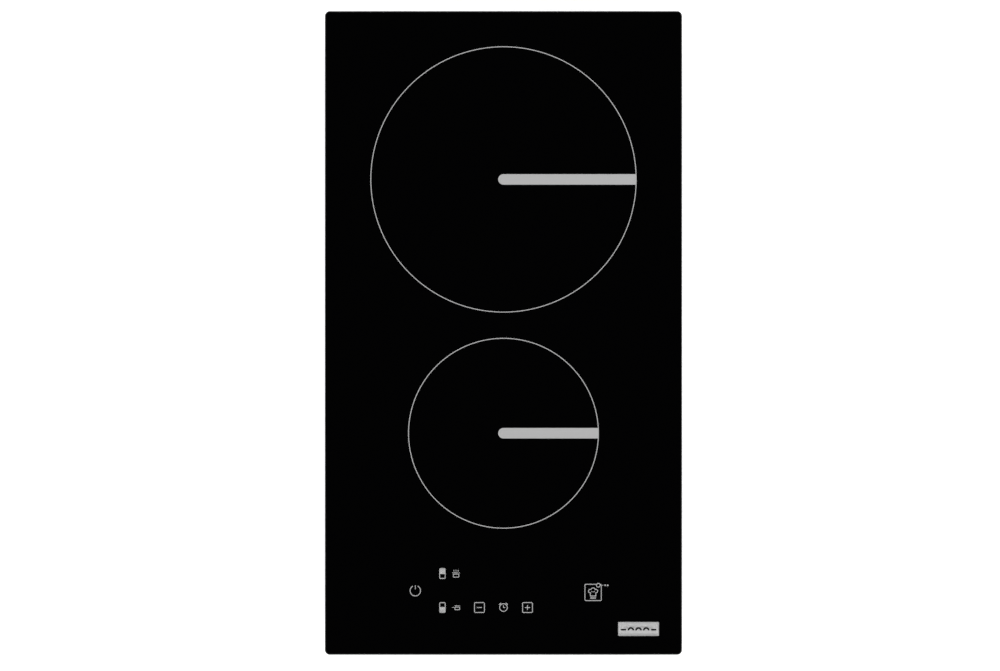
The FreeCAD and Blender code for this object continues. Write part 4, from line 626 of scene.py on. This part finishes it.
def helix(x, y, low, high, radius, pitch):
    """Points on a helix about an upright axis, from one level up to another."""
    count = math.ceil((high - low) / pitch * HELIX_STEPS)
    points = []
    for i in range(count + 1):
        climb = (high - low) * i / count
        angle = 2 * math.pi * climb / pitch
        across, back = radius * math.cos(angle), radius * math.sin(angle)
        points.append(Vector((x + across, y + back, low + climb)))
    return points


def make_springs(node, spots, radius, wire, pitch):
    """Helical springs of round wire between the levels that the CAD's springs take up."""
    low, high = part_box(node)

    def build(bm):
        for x, y in spots:
            line = helix(x, y, low.z + wire, high.z - wire, radius, pitch)
            add_tube(bm, line, wire, WIRE_SIDES)

    mesh = finished(f"{node}_mesh", build)
    steel = [MATERIALS["spring_steel"]]
    return add_piece(f"{node}_fine", mesh, APPLIANCE, node, steel, WIRE_SMOOTH_BELOW)


def make_coil_springs(zone):
    """The springs under a coil, with a mesh of their own."""
    middle = zone_middle(zone)
    out = PEG_CIRCLE[zone]
    spots = [(middle.x + out * u, middle.y + out * v) for u, v in SPRING_SPOTS]
    node = f"{zone}_coil_springs"
    springs = make_springs(node, spots, SPRING_RADIUS, SPRING_WIRE, SPRING_PITCH)
    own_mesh(springs)


def make_coil_leads(zone):
    """The two leads of a coil, copied from the CAD, with a mesh of their own."""
    node = f"{zone}_coil_leads"
    mesh = own_copy(node)
    sleeve = [MATERIALS["lead_sleeve"]]
    leads = add_piece(f"{node}_fine", mesh, APPLIANCE, node, sleeve, WIRE_SMOOTH_BELOW)
    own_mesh(leads)


def touch_spots():
    """Where the touch keys are: the middles of the CAD's springs, found from their separate meshes."""
    bm = bmesh.new()
    bm.from_mesh(frame["nodes"]["touch_springs"].data)
    bmesh.ops.remove_doubles(bm, verts=bm.verts, dist=MERGE_BELOW)
    spots, waiting = [], set(bm.verts)
    while waiting:
        group, edge = set(), [waiting.pop()]
        while edge:
            vertex = edge.pop()
            group.add(vertex)
            near = {e.other_vert(vertex) for e in vertex.link_edges} & waiting
            waiting -= near
            edge += near
        xs = [v.co.x for v in group]
        ys = [v.co.y for v in group]
        spots.append(((min(xs) + max(xs)) / 2, (min(ys) + max(ys)) / 2))
    bm.free()
    return sorted(spots)


for zone in ("rear", "front"):
    make_winding(zone)
    make_coil_springs(zone)
    make_coil_leads(zone)
make_springs(
    "touch_springs", touch_spots(), TOUCH_SPRING_RADIUS, TOUCH_SPRING_WIRE, TOUCH_SPRING_PITCH
)

# ---------------------------------------------------------------- materials of the CAD nodes that show


def dress_cad_nodes():
    """Gives each CAD node that still shows the material of its slot."""
    for node, thing in frame["nodes"].items():
        material = MATERIALS.get(SLOT_OF[node])
        if material and not thing.hide_render:
            thing.data.materials.clear()
            thing.data.materials.append(material)


dress_cad_nodes()

# ---------------------------------------------------------------- floor, light and camera

FLOOR_SIZE = 12.0
FLOOR_COLOUR = (0.85, 0.85, 0.85, 1)
FLOOR_ROUGHNESS = 0.9
FLOOR_SPECULAR = 0.1
FLOOR_GLOW = 0.55  # the floor shines a little, so that it stays white beside the plate too
GLOW_COLOUR = (1, 1, 1, 1)
# Each stop's height, from 0 at the horizon to 1 overhead, and its grey
SKY = ((0.0, 0.9), (0.12, 0.8), (0.32, 0.32), (0.86, 0.3), (0.95, 0.0))
LAMP_DISTANCE = 2.6
LAMP_ELEVATION = math.radians(52)
LAMP_SIZE = 1.3
LAMP_POWER = 10.0
LAMPS = 6
FRAME_WIDTH = 0.8077  # width of what the camera sees at the height of the glass
OFF_CENTRE = (-0.0028, -0.00207)  # the middle of the view, from the middle of the glass
LENS = 100.0  # in mm, as is the sensor's width
SENSOR = 36.0


def make_floor():
    """The white ground, which is part of the scene and not of the object."""
    mesh = bpy.data.meshes.new("floor")
    half = FLOOR_SIZE / 2
    corners = [(-half, -half, 0), (half, -half, 0), (half, half, 0), (-half, half, 0)]
    mesh.from_pydata(corners, [], [(0, 1, 2, 3)])
    floor = bpy.data.objects.new("floor", mesh)
    bpy.context.scene.collection.objects.link(floor)
    paint = bpy.data.materials.new("floor_paint")
    paint.use_nodes = True
    shader = paint.node_tree.nodes["Principled BSDF"]
    shader.inputs["Base Color"].default_value = FLOOR_COLOUR
    shader.inputs["Roughness"].default_value = FLOOR_ROUGHNESS
    shader.inputs["Specular IOR Level"].default_value = FLOOR_SPECULAR
    shader.inputs["Emission Color"].default_value = GLOW_COLOUR
    shader.inputs["Emission Strength"].default_value = FLOOR_GLOW
    mesh.materials.append(paint)


def make_sky():
    """Soft light all round, bright at the horizon and black overhead, where the level glass mirrors."""
    world = bpy.data.worlds.new("studio")
    bpy.context.scene.world = world
    world.use_nodes = True
    tree = world.node_tree
    way = tree.nodes.new("ShaderNodeTexCoord")
    split = tree.nodes.new("ShaderNodeSeparateXYZ")
    ramp = tree.nodes.new("ShaderNodeValToRGB")
    elements = ramp.color_ramp.elements
    for height, grey in SKY[1:-1]:
        elements.new(height).color = (grey, grey, grey, 1)
    for element, (height, grey) in zip(elements, SKY):
        element.position = height
        element.color = (grey, grey, grey, 1)
    tree.links.new(way.outputs["Generated"], split.inputs["Vector"])
    tree.links.new(split.outputs["Z"], ramp.inputs["Fac"])
    tree.links.new(ramp.outputs["Color"], tree.nodes["Background"].inputs["Color"])


def make_lamps():
    """A ring of soft lamps, all out of the part of the sky that the level glass mirrors from above."""
    target = Vector((0, 0, cad_high.z))
    for k in range(LAMPS):
        turn = 2 * math.pi * (k + 0.5) / LAMPS
        flat = Vector((math.cos(turn), math.sin(turn), 0)) * math.cos(LAMP_ELEVATION)
        way = flat + Vector((0, 0, math.sin(LAMP_ELEVATION)))
        data = bpy.data.lights.new(f"lamp_{k}", "AREA")
        data.shape = "DISK"
        data.size = LAMP_SIZE
        data.energy = LAMP_POWER
        lamp = bpy.data.objects.new(f"lamp_{k}", data)
        lamp.location = target + way * LAMP_DISTANCE
        lamp.rotation_mode = "QUATERNION"
        lamp.rotation_quaternion = (-way).to_track_quat("-Z", "Y")
        bpy.context.scene.collection.objects.link(lamp)


def make_camera():
    """Straight above the plate, at the height from which the view is as wide as the photograph's."""
    data = bpy.data.cameras.new("camera")
    data.lens = LENS
    data.sensor_width = SENSOR
    camera = bpy.data.objects.new("camera", data)
    camera.location = (*OFF_CENTRE, cad_high.z + FRAME_WIDTH * LENS / SENSOR)
    bpy.context.scene.collection.objects.link(camera)
    bpy.context.scene.camera = camera


make_floor()
make_sky()
make_lamps()
make_camera()
bpy.context.scene.view_settings.view_transform = "Standard"
